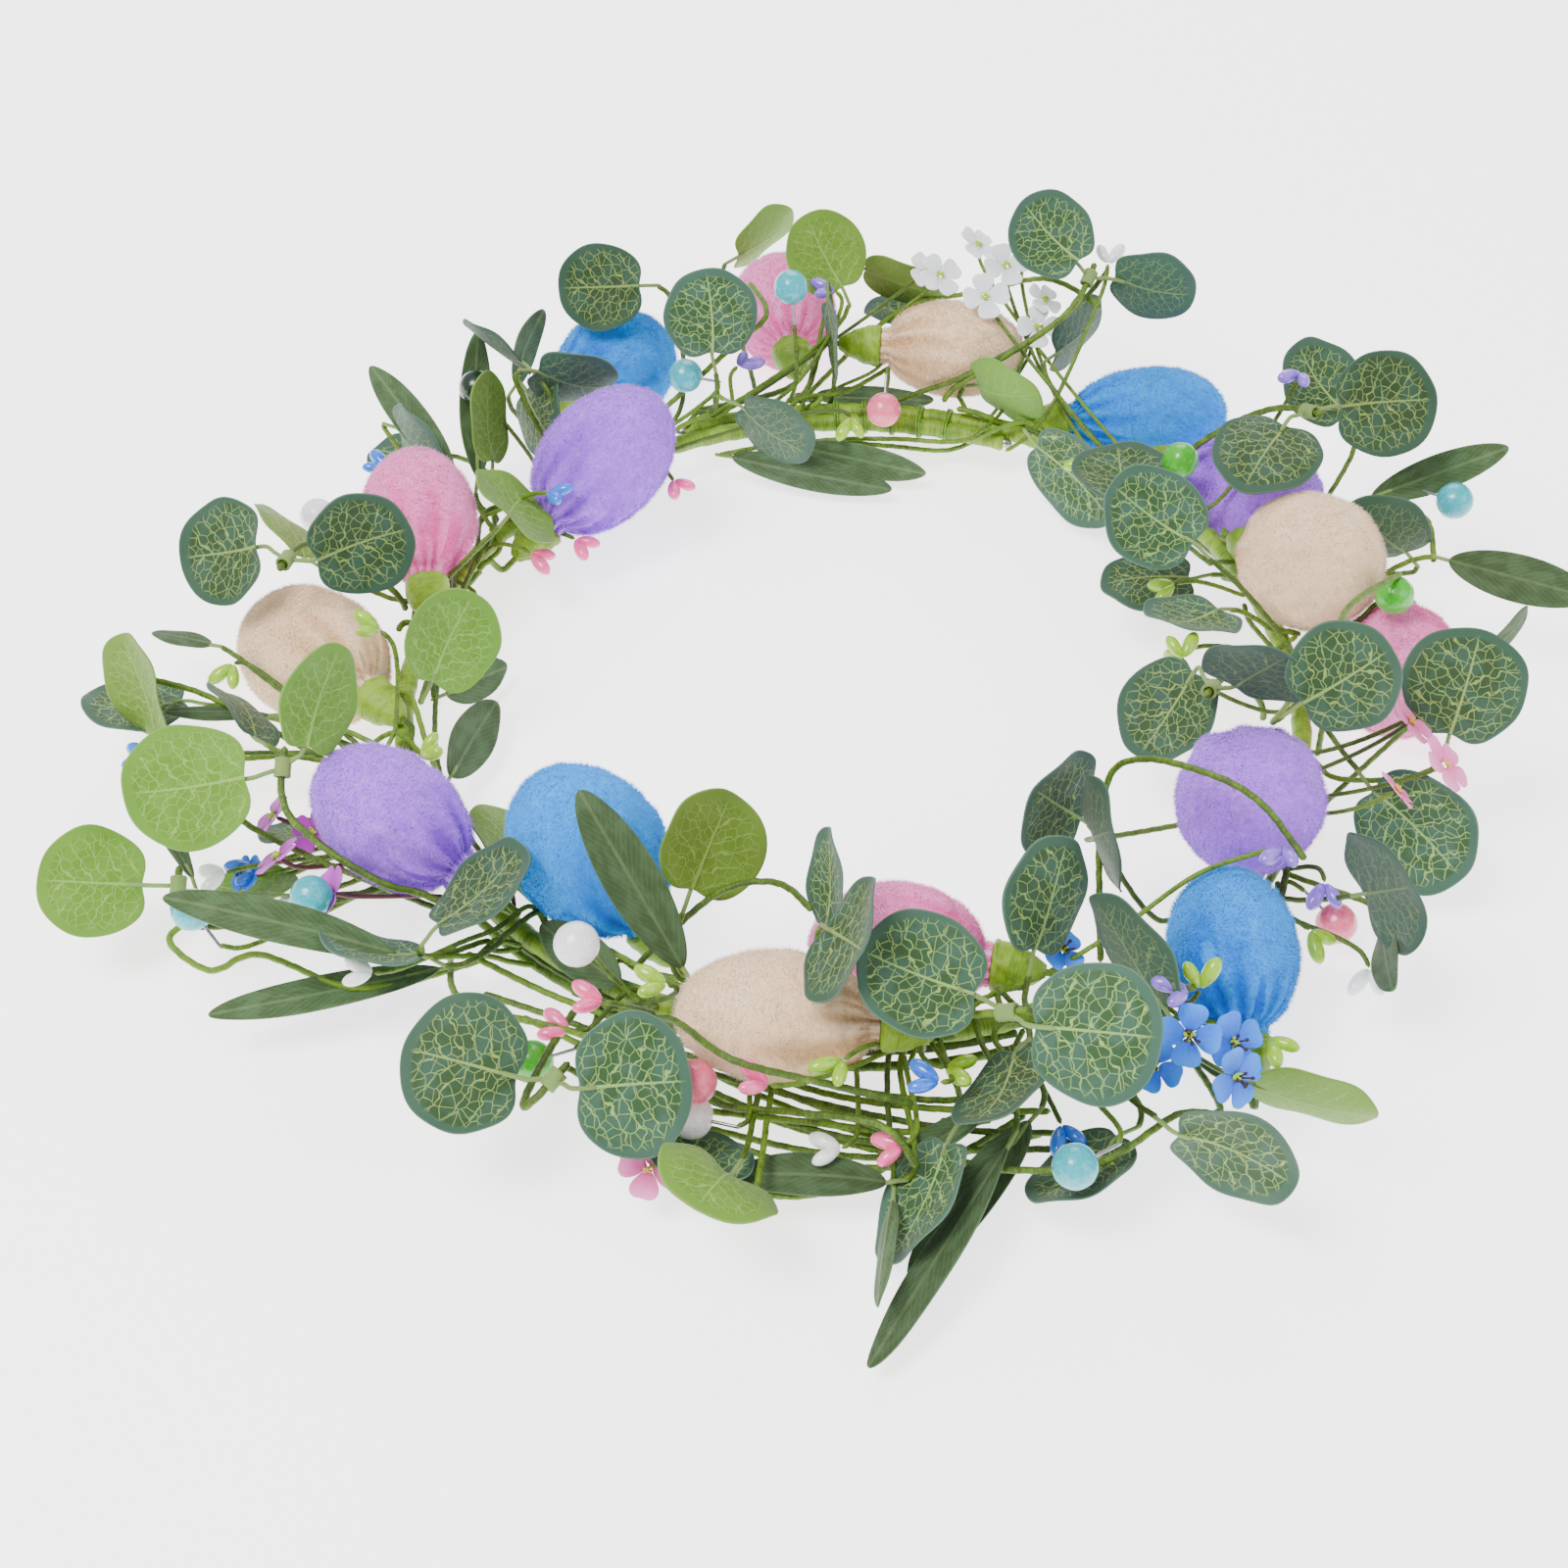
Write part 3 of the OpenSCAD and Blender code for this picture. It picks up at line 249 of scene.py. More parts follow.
# First angle, last angle, way out, height
BUNDLE_RUNS = [
    [118, 166, 2.4, -3.0], [152, 206, 0, -4.2], [196, 246, 2.4, -3.0],
    [222, 288, 0, -4.2], [252, 302, 2.6, -5.4], [290, 336, 2.4, -3.0],
    [318, 372, 0, -4.2], [362, 406, 2.4, -3.0]
]
BERRIES = {
    "teal": [
        [215, 30, 13, -60, -30], [210, 49, 10, 110, -40], [97, 10, 31, 180, -50],
        [112, 6, 14, -100, -20], [17, 43, 18, 120, -10], [285, 40, 10, 100, 10]
    ],
    "pink": [[84, -7, 9, 0, 40], [256, 24, 14, -100, -10], [325, 18, -2, 170, 20]],
    "white": [[243, 16, 30, -160, -50], [255, 24, 3, 90, 0], [158, 33, 8, 170, -20]],
    "green": [[36, -3, 19, 90, -50], [2, 17, 22, 100, -50], [239, 22, 0, 150, -10]],
    "forest": [[136, 24, 18, 180, -30]],
}
BUDS = {
    "lime": [
        [181, 34, 9, 60, -30], [185, 2, 23, 0, 30], [199, -2, 9, 170, 40], [89, -6, 6, 180, -35],
        [251, 12, 22, -70, 10], [268, 21, 20, -40, 0], [277, 18, 13, 60, 20], [48, -11, 13, 170, -10],
        [15, -22, 13, 170, -30], [4, -23, 6, 170, -50], [351, -26, 18, 100, 20],
        [300, 22, 21, 150, 60], [318, 18, 8, 0, -30], [305, 30, 9, 0, 0], [343, 20, 24, 60, 0]
    ],
    "blue": [
        [192, 49, 9, -20, -10], [149, 27, 10, 10, 10], [146, -14, 17, 180, 20], [206, 34, 5, 0, 0],
        [276, 24, 17, -110, 0], [287, 25, 0, 0, -10]
    ],
    "pink": [
        [123, -21, 8, 180, 0], [152, -14, 6, -170, -20], [143, -17, 3, 180, -10],
        [246, 18, 20, -70, 10], [242, 18, 8, -80, 0], [262, 26, 18, -90, 20], [273, 29, 7, -90, -20]
    ],
    "violet": [
        [91, 20, 23, 90, 10], [105, 3, 16, -60, 0], [31, 20, 38, -150, 10], [315, 12, 30, -60, 10],
        [325, 14, 7, -60, -20], [298, 23, 24, -100, 10]
    ],
    "white": [
        [225, 30, 13, -50, 0], [207, 42, 9, -20, -20], [319, 30, 5, -60, -20], [268, 26, 2, -90, -10],
        [61, 33, 32, 20, 20]
    ],
}
# Then the number of petals, width
FLORETS = {
    "white": [
        [79, 26, 24, -130, 55, 4, 11], [72, 30, 27, -140, 60, 4, 11], [76, 40, 25, -100, 60, 4, 10],
        [73, 19, 25, -150, 50, 4, 11], [69, 21, 17, -160, 40, 4, 10], [81, 34, 20, -120, 50, 4, 10],
        [71, 40, 24, -60, 60, 4, 10], [67, 27, 22, -90, 60, 4, 9]
    ],
    "magenta": [
        [203, 28, 10, -30, 40, 4, 10], [209, 31, 12, -60, 50, 4, 10], [213, 23, 14, -20, 40, 4, 11],
        [205, 22, 7, 30, 50, 4, 9]
    ],
    "blue": [
        [297, 28, 19, -40, 45, 4, 11], [301, 30, 14, 0, 45, 4, 11], [295, 26, 11, -60, 30, 4, 10],
        [299, 36, 14, 10, 30, 4, 11], [294, -4, 10, 30, 60, 4, 9], [206, 36, 4, 0, 50, 4, 8]
    ],
    "pink": [
        [341, 18, 24, 20, 50, 4, 11], [338, 26, 21, 10, 50, 5, 12], [253, 34, 0, 0, 50, 4, 11],
        [335, 19, 17, 40, 40, 5, 9]
    ],
}


def ang(d):
    return math.radians(d)


def clock(p):
    r = HOOP_R + p[1]
    return np.array([r * math.cos(ang(p[0])), r * math.sin(ang(p[0])), p[2]], float)


def axis_of(p):
    a, r = ang(p[0] + p[3]), ang(p[4])
    return np.array([math.cos(r) * math.cos(a), math.cos(r) * math.sin(a), math.sin(r)])


def side_of(p, roll=None):
    a, t = ang(p[0] + p[3]), ang(p[5] if roll is None else roll)
    y = np.array([-math.sin(a), math.cos(a), 0])
    return y * math.cos(t) + np.cross(axis_of(p), y) * math.sin(t)


def own_axes(p):
    """The directions of a piece that turns about its own length: ahead, across and up."""
    x, y = axis_of(p), side_of(p, 0)
    return x, y, np.cross(x, y)


def circle(count):
    return 2 * math.pi * np.arange(count) / count


class Lumps:
    """Ellipsoids that soft pieces keep clear of: centre, axis, half length, half width."""

    def __init__(self, rows):
        self.rows = rows
        self.c = np.array([r[0] for r in rows])
        self.a = np.array([r[1] for r in rows])
        self.h = np.array([r[2] for r in rows], float)
        self.w = np.array([r[3] for r in rows], float)

    def escapes(self, pts, gap):
        v = pts[:, None, :] - self.c
        along = (v * self.a).sum(-1)
        off = v - along[..., None] * self.a
        wide = np.linalg.norm(off, axis=-1) / (self.w + gap)
        k = np.hypot(along / (self.h + gap), wide)
        thin = (self.h < self.w / 2)[None, :]
        side = np.where(along < 0, -1, 1)
        flat = ((self.h + gap) * np.sqrt(np.clip(1 - wide * wide, 0, 1)) * side - along)
        out = np.where(thin[..., None], flat[..., None] * self.a,
                       v * (1 / np.maximum(k, 0.2) - 1)[..., None])
        return (out * (k < 1)[..., None]).reshape(-1, 3)


def way_out(pts, lumps, gap):
    flat = np.linalg.norm(pts[:, :2], axis=1)
    off = flat - HOOP_R
    near = np.maximum(np.hypot(off, pts[:, 2]), 0.5)
    need = HOOP_CLEAR + gap
    push = np.where(near > need, 0, need / near - 1)
    hoop = np.stack([off * pts[:, 0] / flat, off * pts[:, 1] / flat, pts[:, 2]], 1) * push[:, None]
    table = np.zeros_like(pts)
    table[:, 2] = np.maximum(0, LOW_Z + gap - pts[:, 2])
    ways = np.vstack([hoop, table, lumps.escapes(pts, gap)])
    return ways[np.argmax(np.linalg.norm(ways, axis=1))]


def settle(pts, lumps, gap, tries=8):
    pts = np.array(pts, float)
    shift = np.zeros(3)
    for _ in range(tries):
        v = way_out(pts + shift, lumps, gap)
        if np.linalg.norm(v) < 0.05:
            break
        shift = shift + v
    return shift


LEAF_MARKS = [(0.2, 0), (0.5, 0), (0.8, 0), (1, 0), (0.1, 0.6), (0.1, -0.6), (0.35, 1), (0.35, -1),
              (0.65, 1), (0.65, -1), (0.9, 0.6), (0.9, -0.6), (0.5, 0.5), (0.5, -0.5)]


def leaf_points(p):
    x, y, o = axis_of(p), side_of(p), clock(p)
    return [o - x * STALK] + [o + x * u * p[6] + y * v * p[7] / 2 for u, v in LEAF_MARKS]


def leaf_lump(p, shift, room):
    x = axis_of(p)
    return (clock(p) + shift + x * p[6] / 2, np.cross(x, side_of(p)), room, max(p[6], p[7]) / 2)


egg_rows = []
for e in EGGS:
    u = axis_of(e)
    egg_rows.append((clock(e), u, e[5] / 2, e[6] / 2))
    egg_rows.append((clock(e) - u * (e[5] / 2 + 2 + NECK_LEN / 2), u, NECK_LEN / 2 + 2, NECK_D / 2))
egg_lumps = Lumps(egg_rows)
UP = np.array([0.0, 0.0, 1.0])
pair_shift = {}
swing_rows = []
for name, p in PAIRS.items():
    pair_shift[name] = settle([q for leaf in p[8] for q in leaf_points(leaf)], egg_lumps, 1.6)
    swing_rows.append((clock(p) + pair_shift[name], UP, 3, 3))
    swing_rows += [leaf_lump(leaf, pair_shift[name], SWING_ROOM) for leaf in p[8]]
all_lumps = Lumps(egg_rows + swing_rows)
ALL_BERRIES = [b for rows in BERRIES.values() for b in rows]
berry_shift = [settle([clock(b)], all_lumps, BERRY_D / 2 + 0.4) for b in ALL_BERRIES]
firm_lumps = Lumps(all_lumps.rows + [(clock(b) + s, UP, BERRY_D / 2, BERRY_D / 2)
                                     for b, s in zip(ALL_BERRIES, berry_shift)])
leaf_shift = {k: [settle(leaf_points(p), firm_lumps, 0.9) for p in rows] for k, rows in LEAVES.items()}
piece_lumps = Lumps(firm_lumps.rows + [leaf_lump(p, s, 0.4) for k in LEAVES
                                       for p, s in zip(LEAVES[k], leaf_shift[k])])
willow_shift = {k: [settle(leaf_points(p), piece_lumps, 0.7) for p in rows] for k, rows in WILLOW.items()}
ALL_BUDS = [b for rows in BUDS.values() for b in rows]
bud_shift = [settle([clock(b) + axis_of(b) * x for x in (1, 4)], piece_lumps, BUD_D / 2 + 0.8)
             for b in ALL_BUDS]
ALL_FLORETS = [f for rows in FLORETS.values() for f in rows]


def floret_ring(f):
    _, y, z = own_axes(f)
    return [clock(f) + f[6] / 2 * (math.cos(ang(a)) * y + math.sin(ang(a)) * z)
            for a in range(0, 360, 60)]


floret_shift = [settle(floret_ring(f), firm_lumps, 1.2) for f in ALL_FLORETS]


def bezier(a, b, c, d, steps):
    t = np.linspace(0, 1, steps + 1)[:, None]
    s = 1 - t
    return s ** 3 * a + 3 * s * s * t * b + 3 * s * t * t * c + t ** 3 * d


def spline(pts, steps):
    """Catmull-Rom curve through points, steps to each span."""
    p = np.array(pts, float)
    p = np.vstack([p[:1], p, p[-1:]])
    out = []
    for i in range(1, len(p) - 2):
        a, b, c, d = p[i - 1:i + 3]
        for k in range(steps):
            t = k / steps
            out.append(0.5 * (2 * b + (c - a) * t + (2 * a - 5 * b + 4 * c - d) * t * t
                              + (3 * b - a - 3 * c + d) * t ** 3))
    return np.array(out + [p[-2]])


def foot(n, angle):
    turn, far = (n * 67) % 260 - 40, TAPE_R + 0.4 + 1.1 * (n % 3)
    return clock([angle, far * math.cos(ang(turn)), far * math.sin(ang(turn))])


def wire_way(start, way, n, angle, origin, steps):
    end = foot(n, angle)
    along = np.array([-math.sin(ang(angle)), math.cos(ang(angle)), 0]) * (-1 if angle > origin else 1)
    return bezier(start, start - way * 7, end + along * 9, end, steps)


WIRE_LEADS = [12, -12, 20, -20, 4, 28, -28, 38, -38]


def buried(path):
    return math.sqrt(sum(np.sum(way_out(q[None], egg_lumps, 1.2) ** 2) for q in path))


def clear_path(path, lumps):
    return np.array([q if i in (0, len(path) - 1) else q + settle([q], lumps, 1.3, 4)
                     for i, q in enumerate(path)])


def wire_path(p, shift, back, n):
    way = axis_of(p)
    start = clock(p) + shift - way * back
    costs = [buried(wire_way(start, way, n, p[0] + lead, p[0], 14)) + abs(lead) * 0.05
             for lead in WIRE_LEADS]
    lead = WIRE_LEADS[int(np.argmin(costs))]
    return clear_path(wire_way(start, way, n, p[0] + lead, p[0], 6), firm_lumps)


def leaf_wires(rows, shifts):
    return [wire_path(p, s, STALK - 1, n) for n, (p, s) in enumerate(zip(rows, shifts))]


def swing(a):
    t = min(max((a - SEAM_START - SWING_START) / SWING_TURN, 0), 1)
    return SEAM_OUT * t * t * (3 - 2 * t)


def strand(first, last, step=0.5):
    count = math.ceil((last - first) / step)
    angles = [first + (last - first) * k / count for k in range(count + 1)]
    return np.array([clock([a, swing(a), 0]) for a in angles])

# ---------------------------------------------------------------- meshes
# A part is an array of points with what the materials read beside each one, and its faces:
# x y z, three local coordinates in mm, three shares of the piece's size, tone, mask

COLUMNS = 11


def ring_faces(n, m, loop=False):
    i = np.arange(n if loop else n - 1)[:, None]
    j = np.arange(m)[None]
    k = (i + 1) % n
    a, b, c, d = i * m + j, i * m + (j + 1) % m, k * m + (j + 1) % m, k * m + j
    return np.stack([a + 0 * j, b + 0 * j, c + 0 * j, d + 0 * j], -1).reshape(-1, 4)


def tube(rings, loop=False, inward=False):
    """Faces between rings that turn about the way they follow, with a point to close each end."""
    n, m = rings.shape[:2]
    pts = rings.reshape(-1, rings.shape[2])
    quads = ring_faces(n, m, loop)
    tris = np.zeros((0, 3), int)
    if not loop:
        pts = np.vstack([pts, rings[0].mean(0), rings[-1].mean(0)])
        j = np.arange(m)
        k = (j + 1) % m
        tris = np.vstack([np.stack([0 * j + n * m, k, j], 1),
                          np.stack([0 * j + n * m + 1, (n - 1) * m + j, (n - 1) * m + k], 1)])
    if inward:
        quads, tris = quads[:, ::-1], tris[:, ::-1]
    return pts, quads, tris


def build(name, parts, material, slot, nodes, body="root", smooth=True):
    """One object in metres from parts in mm. It rides on a body and stands for CAD nodes."""
    start, pts, quads, tris = 0, [], [], []
    for p, q, t in parts:
        pts.append(p)
        quads.append(q + start)
        tris.append(t + start)
        start += len(p)
    pts, quads, tris = np.vstack(pts), np.vstack(quads), np.vstack(tris)
    mesh = bpy.data.meshes.new(name)
    mesh.vertices.add(len(pts))
    mesh.vertices.foreach_set("co", (pts[:, :3] * MM).astype(np.float32).ravel())
    mesh.loops.add(quads.size + tris.size)
    mesh.loops.foreach_set("vertex_index", np.concatenate([quads.ravel(), tris.ravel()]).astype(np.int32))
    sizes = np.concatenate([np.full(len(quads), 4), np.full(len(tris), 3)])
    mesh.polygons.add(len(sizes))
    mesh.polygons.foreach_set("loop_start", (np.cumsum(sizes) - sizes).astype(np.int32))
    mesh.polygons.foreach_set("use_smooth", np.full(len(sizes), smooth))
    for label, cols in (("local", (3, 6)), ("share", (6, 9))):
        data = mesh.attributes.new(label, "FLOAT_VECTOR", "POINT").data
        data.foreach_set("vector", pts[:, cols[0]:cols[1]].astype(np.float32).ravel())
    for label, col in (("tone", 9), ("mask", 10)):
        mesh.attributes.new(label, "FLOAT", "POINT").data.foreach_set("value", pts[:, col].astype(np.float32))
    mesh.update(calc_edges=True)
    mesh.validate()
    mesh.materials.append(material)
    obj = bpy.data.objects.new(name, mesh)
    bpy.context.scene.collection.objects.link(obj)
    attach(obj, body)
    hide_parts(*nodes)
    return obj


def fresh(n, m, tone=0.0, mask=0.0):
    rings = np.zeros((n, m, COLUMNS))
    rings[..., 9] = tone
    rings[..., 10] = mask
    return rings


def unit(v):
    return v / np.maximum(np.linalg.norm(v, axis=-1, keepdims=True), 1e-9)


def around(path, radius, first, second, phi):
    """Points in circles about a path, between two directions square to it."""
    return path[:, None] + radius * (np.cos(phi)[:, None] * first[:, None]
                                     + np.sin(phi)[:, None] * second[:, None])


def even(path, gap):
    """The same path, rounded at its corners, with points a gap apart."""
    fine = spline(path, 6) if len(path) > 2 else np.array(path, float)
    step = np.linalg.norm(np.diff(fine, axis=0), axis=1)
    s = np.concatenate([[0], np.cumsum(step)])
    count = max(int(s[-1] / gap), 2)
    at = np.linspace(0, s[-1], count + 1)
    return np.stack([np.interp(at, s, fine[:, k]) for k in range(3)], 1), at


def turning(path):
    tangents = unit(np.gradient(path, axis=0))
    n = np.array([0, 0, 1.0]) if abs(tangents[0][2]) < 0.8 else np.array([1.0, 0, 0])
    normals = []
    for t in tangents:
        n = n - t * n.dot(t)
        n = n / np.linalg.norm(n)
        normals.append(n)
    normals = np.array(normals)
    return tangents, normals, np.cross(tangents, normals)


def sweep(path, radius, sides=10, gap=0.6, pitch=0, relief=0.0, tone=None, ends=0.6):
    """A round stem; with a pitch it is wound with tape, whose edges stand out by the relief."""
    path, s = even(path, gap)
    _, n, m = turning(path)
    phi = circle(sides)
    r = np.broadcast_to(radius, s.shape).copy()
    if ends:
        tip = np.minimum(s, s[-1] - s) / (ends * r.max())
        r = r * np.sqrt(np.clip(1 - (1 - np.clip(tip, 0, 1)) ** 2, 0.04, 1))
    rr = r[:, None] + 0 * phi
    if pitch:
        lap = (s[:, None] / pitch + phi / (2 * math.pi)) % 1
        rr = rr + relief * (lap - np.clip((lap - 0.82) / 0.18, 0, 1) * lap - 0.35)
    rings = fresh(len(s), sides, rng.random() if tone is None else tone)
    rings[..., :3] = around(path, rr[..., None], n, m, phi)
    rings[..., 3] = s[:, None]
    rings[..., 4] = phi
    rings[..., 5] = rr
    return tube(rings)


def bumpy(points, scale, seed):
    """Smooth made-up noise between -1 and 1 from a few slanted waves."""
    r = np.random.default_rng(seed)
    total = 0
    for k in range(6):
        way = r.normal(size=3)
        way = way / np.linalg.norm(way) * (1 + 0.5 * k) / scale
        total = total + np.sin(points @ way * 2 * math.pi + r.random() * 7) / (1 + 0.5 * k)
    return total / 3.2


# ---------------------------------------------------------------- materials


class Paint:
    """A small helper to write a material's nodes in few lines."""

    def __init__(self, name, rough=0.6, **inputs):
        self.material = bpy.data.materials.new(name)
        self.material.use_nodes = True
        self.tree = self.material.node_tree
        self.bsdf = self.tree.nodes["Principled BSDF"]
        self.bsdf.inputs["Roughness"].default_value = rough
        for key, value in inputs.items():
            self.bsdf.inputs[key.replace("_", " ")].default_value = value

    def node(self, kind, **settings):
        n = self.tree.nodes.new("ShaderNode" + kind)
        for key, value in settings.items():
            setattr(n, key, value)
        return n

    def put(self, socket, value):
        if isinstance(value, bpy.types.NodeSocket):
            self.tree.links.new(value, socket)
        else:
            socket.default_value = value

    def read(self, label, kind="Vector"):
        return self.node("Attribute", attribute_name=label).outputs[kind]

    def maths(self, operation, a, b=0.0, c=0.0, clamp=False):
        n = self.node("Math", operation=operation, use_clamp=clamp)
        for socket, value in zip(n.inputs, (a, b, c)):
            self.put(socket, value)
        return n.outputs[0]

    def times(self, a, b, clamp=False):
        return self.maths("MULTIPLY", a, b, clamp=clamp)

    def plus(self, a, b):
        return self.maths("ADD", a, b)

    def less(self, a, b):
        return self.maths("SUBTRACT", a, b)

    def split(self, vector):
        n = self.node("SeparateXYZ")
        self.put(n.inputs[0], vector)
        return n.outputs[0], n.outputs[1], n.outputs[2]

    def vec(self, operation, a, b=(0, 0, 0)):
        n = self.node("VectorMath", operation=operation)
        self.put(n.inputs[0], a)
        self.put(n.inputs[1], b)
        return n.outputs[0]

    def scaled(self, vector, factor):
        n = self.node("VectorMath", operation="SCALE")
        self.put(n.inputs[0], vector)
        self.put(n.inputs["Scale"], factor)
        return n.outputs[0]

    def noise(self, vector, scale, detail=2.0, rough=0.5, colour=False):
        n = self.node("TexNoise")
        self.put(n.inputs["Vector"], vector)
        self.put(n.inputs["Scale"], scale)
        self.put(n.inputs["Detail"], detail)
        self.put(n.inputs["Roughness"], rough)
        return n.outputs["Color" if colour else "Fac"]

    def ramp(self, value, low, high, to_low=0.0, to_high=1.0):
        n = self.node("MapRange", interpolation_type="SMOOTHSTEP")
        for socket, v in zip(n.inputs, (value, low, high, to_low, to_high)):
            self.put(socket, v)
        return n.outputs[0]

    def mix(self, fac, a, b):
        n = self.node("Mix", data_type="RGBA")
        self.put(n.inputs["Factor"], fac)
        self.put(n.inputs[6], a)
        self.put(n.inputs[7], b)
        return n.outputs[2]

    def bump(self, height, strength, distance):
        n = self.node("Bump")
        self.put(n.inputs["Height"], height)
        n.inputs["Strength"].default_value = strength
        n.inputs["Distance"].default_value = distance
        self.tree.links.new(n.outputs[0], self.bsdf.inputs["Normal"])

    def colour(self, socket):
        self.put(self.bsdf.inputs["Base Color"], socket)
        return self.material


def tint(code):
    """A colour written as on a screen, in the linear values that a shader takes."""
    parts = [int(code[k:k + 2], 16) / 255 for k in (1, 3, 5)]
    return tuple(c / 12.92 if c < 0.04045 else ((c + 0.055) / 1.055) ** 2.4 for c in parts) + (1,)


def leaf_paint(name, cell, vein, band, edge, contrast, gloss):
    """Cloth leaf: midrib, curved side veins and a net between them that ends in a plain rim."""
    m = Paint(name, rough=gloss, Sheen_Weight=0.1, Sheen_Roughness=0.5, Specular_IOR_Level=0.22)
    local, tone, mask = m.read("local"), m.read("tone", "Fac"), m.read("mask", "Fac")
    _, y, rim = m.split(local)
    u, v, _ = m.split(m.read("share"))
    warp = m.noise(m.scaled(local, 0.35), 1.0, 1.0)
    wide = m.maths("ABSOLUTE", v)
    ahead = m.less(u, m.times(m.maths("POWER", wide, 0.8), 0.3))
    ahead = m.plus(ahead, m.times(m.less(warp, 0.5), 0.16))
    ahead = m.plus(ahead, m.times(m.maths("SIGN", v), 0.035))
    wave = m.maths("ABSOLUTE", m.less(m.maths("FRACT", m.times(ahead, 6.5)), 0.5))
    side = m.ramp(wave, 0.435, 0.48)
    side = m.times(side, m.ramp(wide, 0.95, 0.6))
    mid = m.ramp(m.plus(m.maths("ABSOLUTE", y), m.times(u, 0.22)), 0.42, 0.24)
    mid = m.times(mid, m.ramp(u, 0.97, 0.8))
    net_at = m.vec("ADD", m.scaled(local, 0.5), m.scaled(m.noise(local, 0.5, 1.0, colour=True), 0.3))
    cells = m.node("TexVoronoi", voronoi_dimensions="2D", feature="DISTANCE_TO_EDGE")
    m.put(cells.inputs["Vector"], net_at)
    cells.inputs["Scale"].default_value = 1.0
    net = m.ramp(cells.outputs["Distance"], 0.058, 0.02)
    fade = m.ramp(m.plus(rim, m.times(m.less(1.0, u), 1.5)), 1.7, 2.5)
    net = m.times(m.times(net, 0.8), fade)
    lines = m.maths("MAXIMUM", m.maths("MAXIMUM", m.times(side, fade), mid), net)
    base = m.mix(m.ramp(m.noise(local, 0.22, 2.0), 0.35, 0.65), cell, band)
    base = m.mix(m.less(1.0, fade), base, band)
    base = m.mix(m.times(lines, contrast), base, vein)
    base = m.mix(m.ramp(rim, 0.3, 0.1, 0.0, 0.5), base, edge)
    back = m.mix(m.times(lines, contrast * 0.4), band, vein)
    base = m.mix(m.times(mask, 0.8, clamp=True), base, back)
    base = m.mix(m.ramp(mask, 1.5, 1.9), base, tint("#849f58"))
    shade = m.node("HueSaturation")
    m.put(shade.inputs["Hue"], m.ramp(tone, 0.0, 1.0, 0.49, 0.512))
    m.put(shade.inputs["Value"], m.ramp(tone, 0.0, 1.0, 0.68, 0.92))
    m.put(shade.inputs["Color"], base)
    weave = m.noise(m.vec("MULTIPLY", local, (1, 1, 0)), 7.0, 2.0)
    relief = m.plus(m.times(lines, 0.8), m.times(weave, 0.35))
    m.bump(relief, 0.6, 0.00012)
    return m.colour(shade.outputs[0])


def willow_paint():
    """Long leaf: a midrib with close slanting veins."""
    m = Paint("willow_leaf", rough=0.7, Sheen_Weight=0.08, Specular_IOR_Level=0.22)
    local, tone, mask = m.read("local"), m.read("tone", "Fac"), m.read("mask", "Fac")
    x, y, rim = m.split(local)
    slant = m.less(x, m.times(m.maths("ABSOLUTE", y), 1.9))
    slant = m.plus(slant, m.times(m.noise(local, 0.3, 1.0), 1.4))
    wave = m.maths("ABSOLUTE", m.less(m.maths("FRACT", m.times(slant, 0.55)), 0.5))
    side = m.times(m.ramp(wave, 0.36, 0.46), 0.55)
    mid = m.ramp(m.maths("ABSOLUTE", y), 0.42, 0.2)
    lines = m.maths("MAXIMUM", side, mid)
    base = m.mix(m.ramp(m.noise(local, 0.25, 2.0), 0.35, 0.65), tint("#3f5632"), tint("#4d6844"))
    base = m.mix(m.times(lines, 0.22), base, tint("#8ba46c"))
    base = m.mix(m.ramp(rim, 0.3, 0.1, 0.0, 0.5), base, tint("#66805a"))
    base = m.mix(m.times(mask, 0.6, clamp=True), base, tint("#5d7450"))
    base = m.mix(m.ramp(mask, 1.5, 1.9), base, tint("#849f58"))
    shade = m.node("HueSaturation")
    m.put(shade.inputs["Value"], m.ramp(tone, 0.0, 1.0, 0.66, 0.92))
    m.put(shade.inputs["Color"], base)
    weave = m.noise(local, 7.0, 2.0)
    m.bump(m.plus(m.times(lines, 0.7), m.times(weave, 0.35)), 0.6, 0.00012)
    return m.colour(shade.outputs[0])


def tape_paint(name, low, high, gloss=0.5):
    """Stretched green tape: creases run round it, mottled between two greens."""
    m = Paint(name, rough=gloss, Specular_IOR_Level=0.4)
    local, tone = m.read("local"), m.read("tone", "Fac")
    stretched = m.vec("MULTIPLY", local, (1.0, 0.7, 0.3))
    streaks = m.noise(m.vec("MULTIPLY", local, (3.0, 0.5, 1.0)), 1.0, 3.0, 0.6)
    patches = m.noise(stretched, 0.35, 2.0)
    both = m.plus(m.times(streaks, 0.55), m.times(patches, 0.45))
    base = m.mix(m.ramp(m.plus(both, m.times(m.less(tone, 0.5), 0.2)), 0.36, 0.64),
                 low, high)
    m.bump(streaks, 0.5, 0.0003)
    return m.colour(base)


def between(a, b, t):
    return tuple(p + (q - p) * t for p, q in zip(a, b))


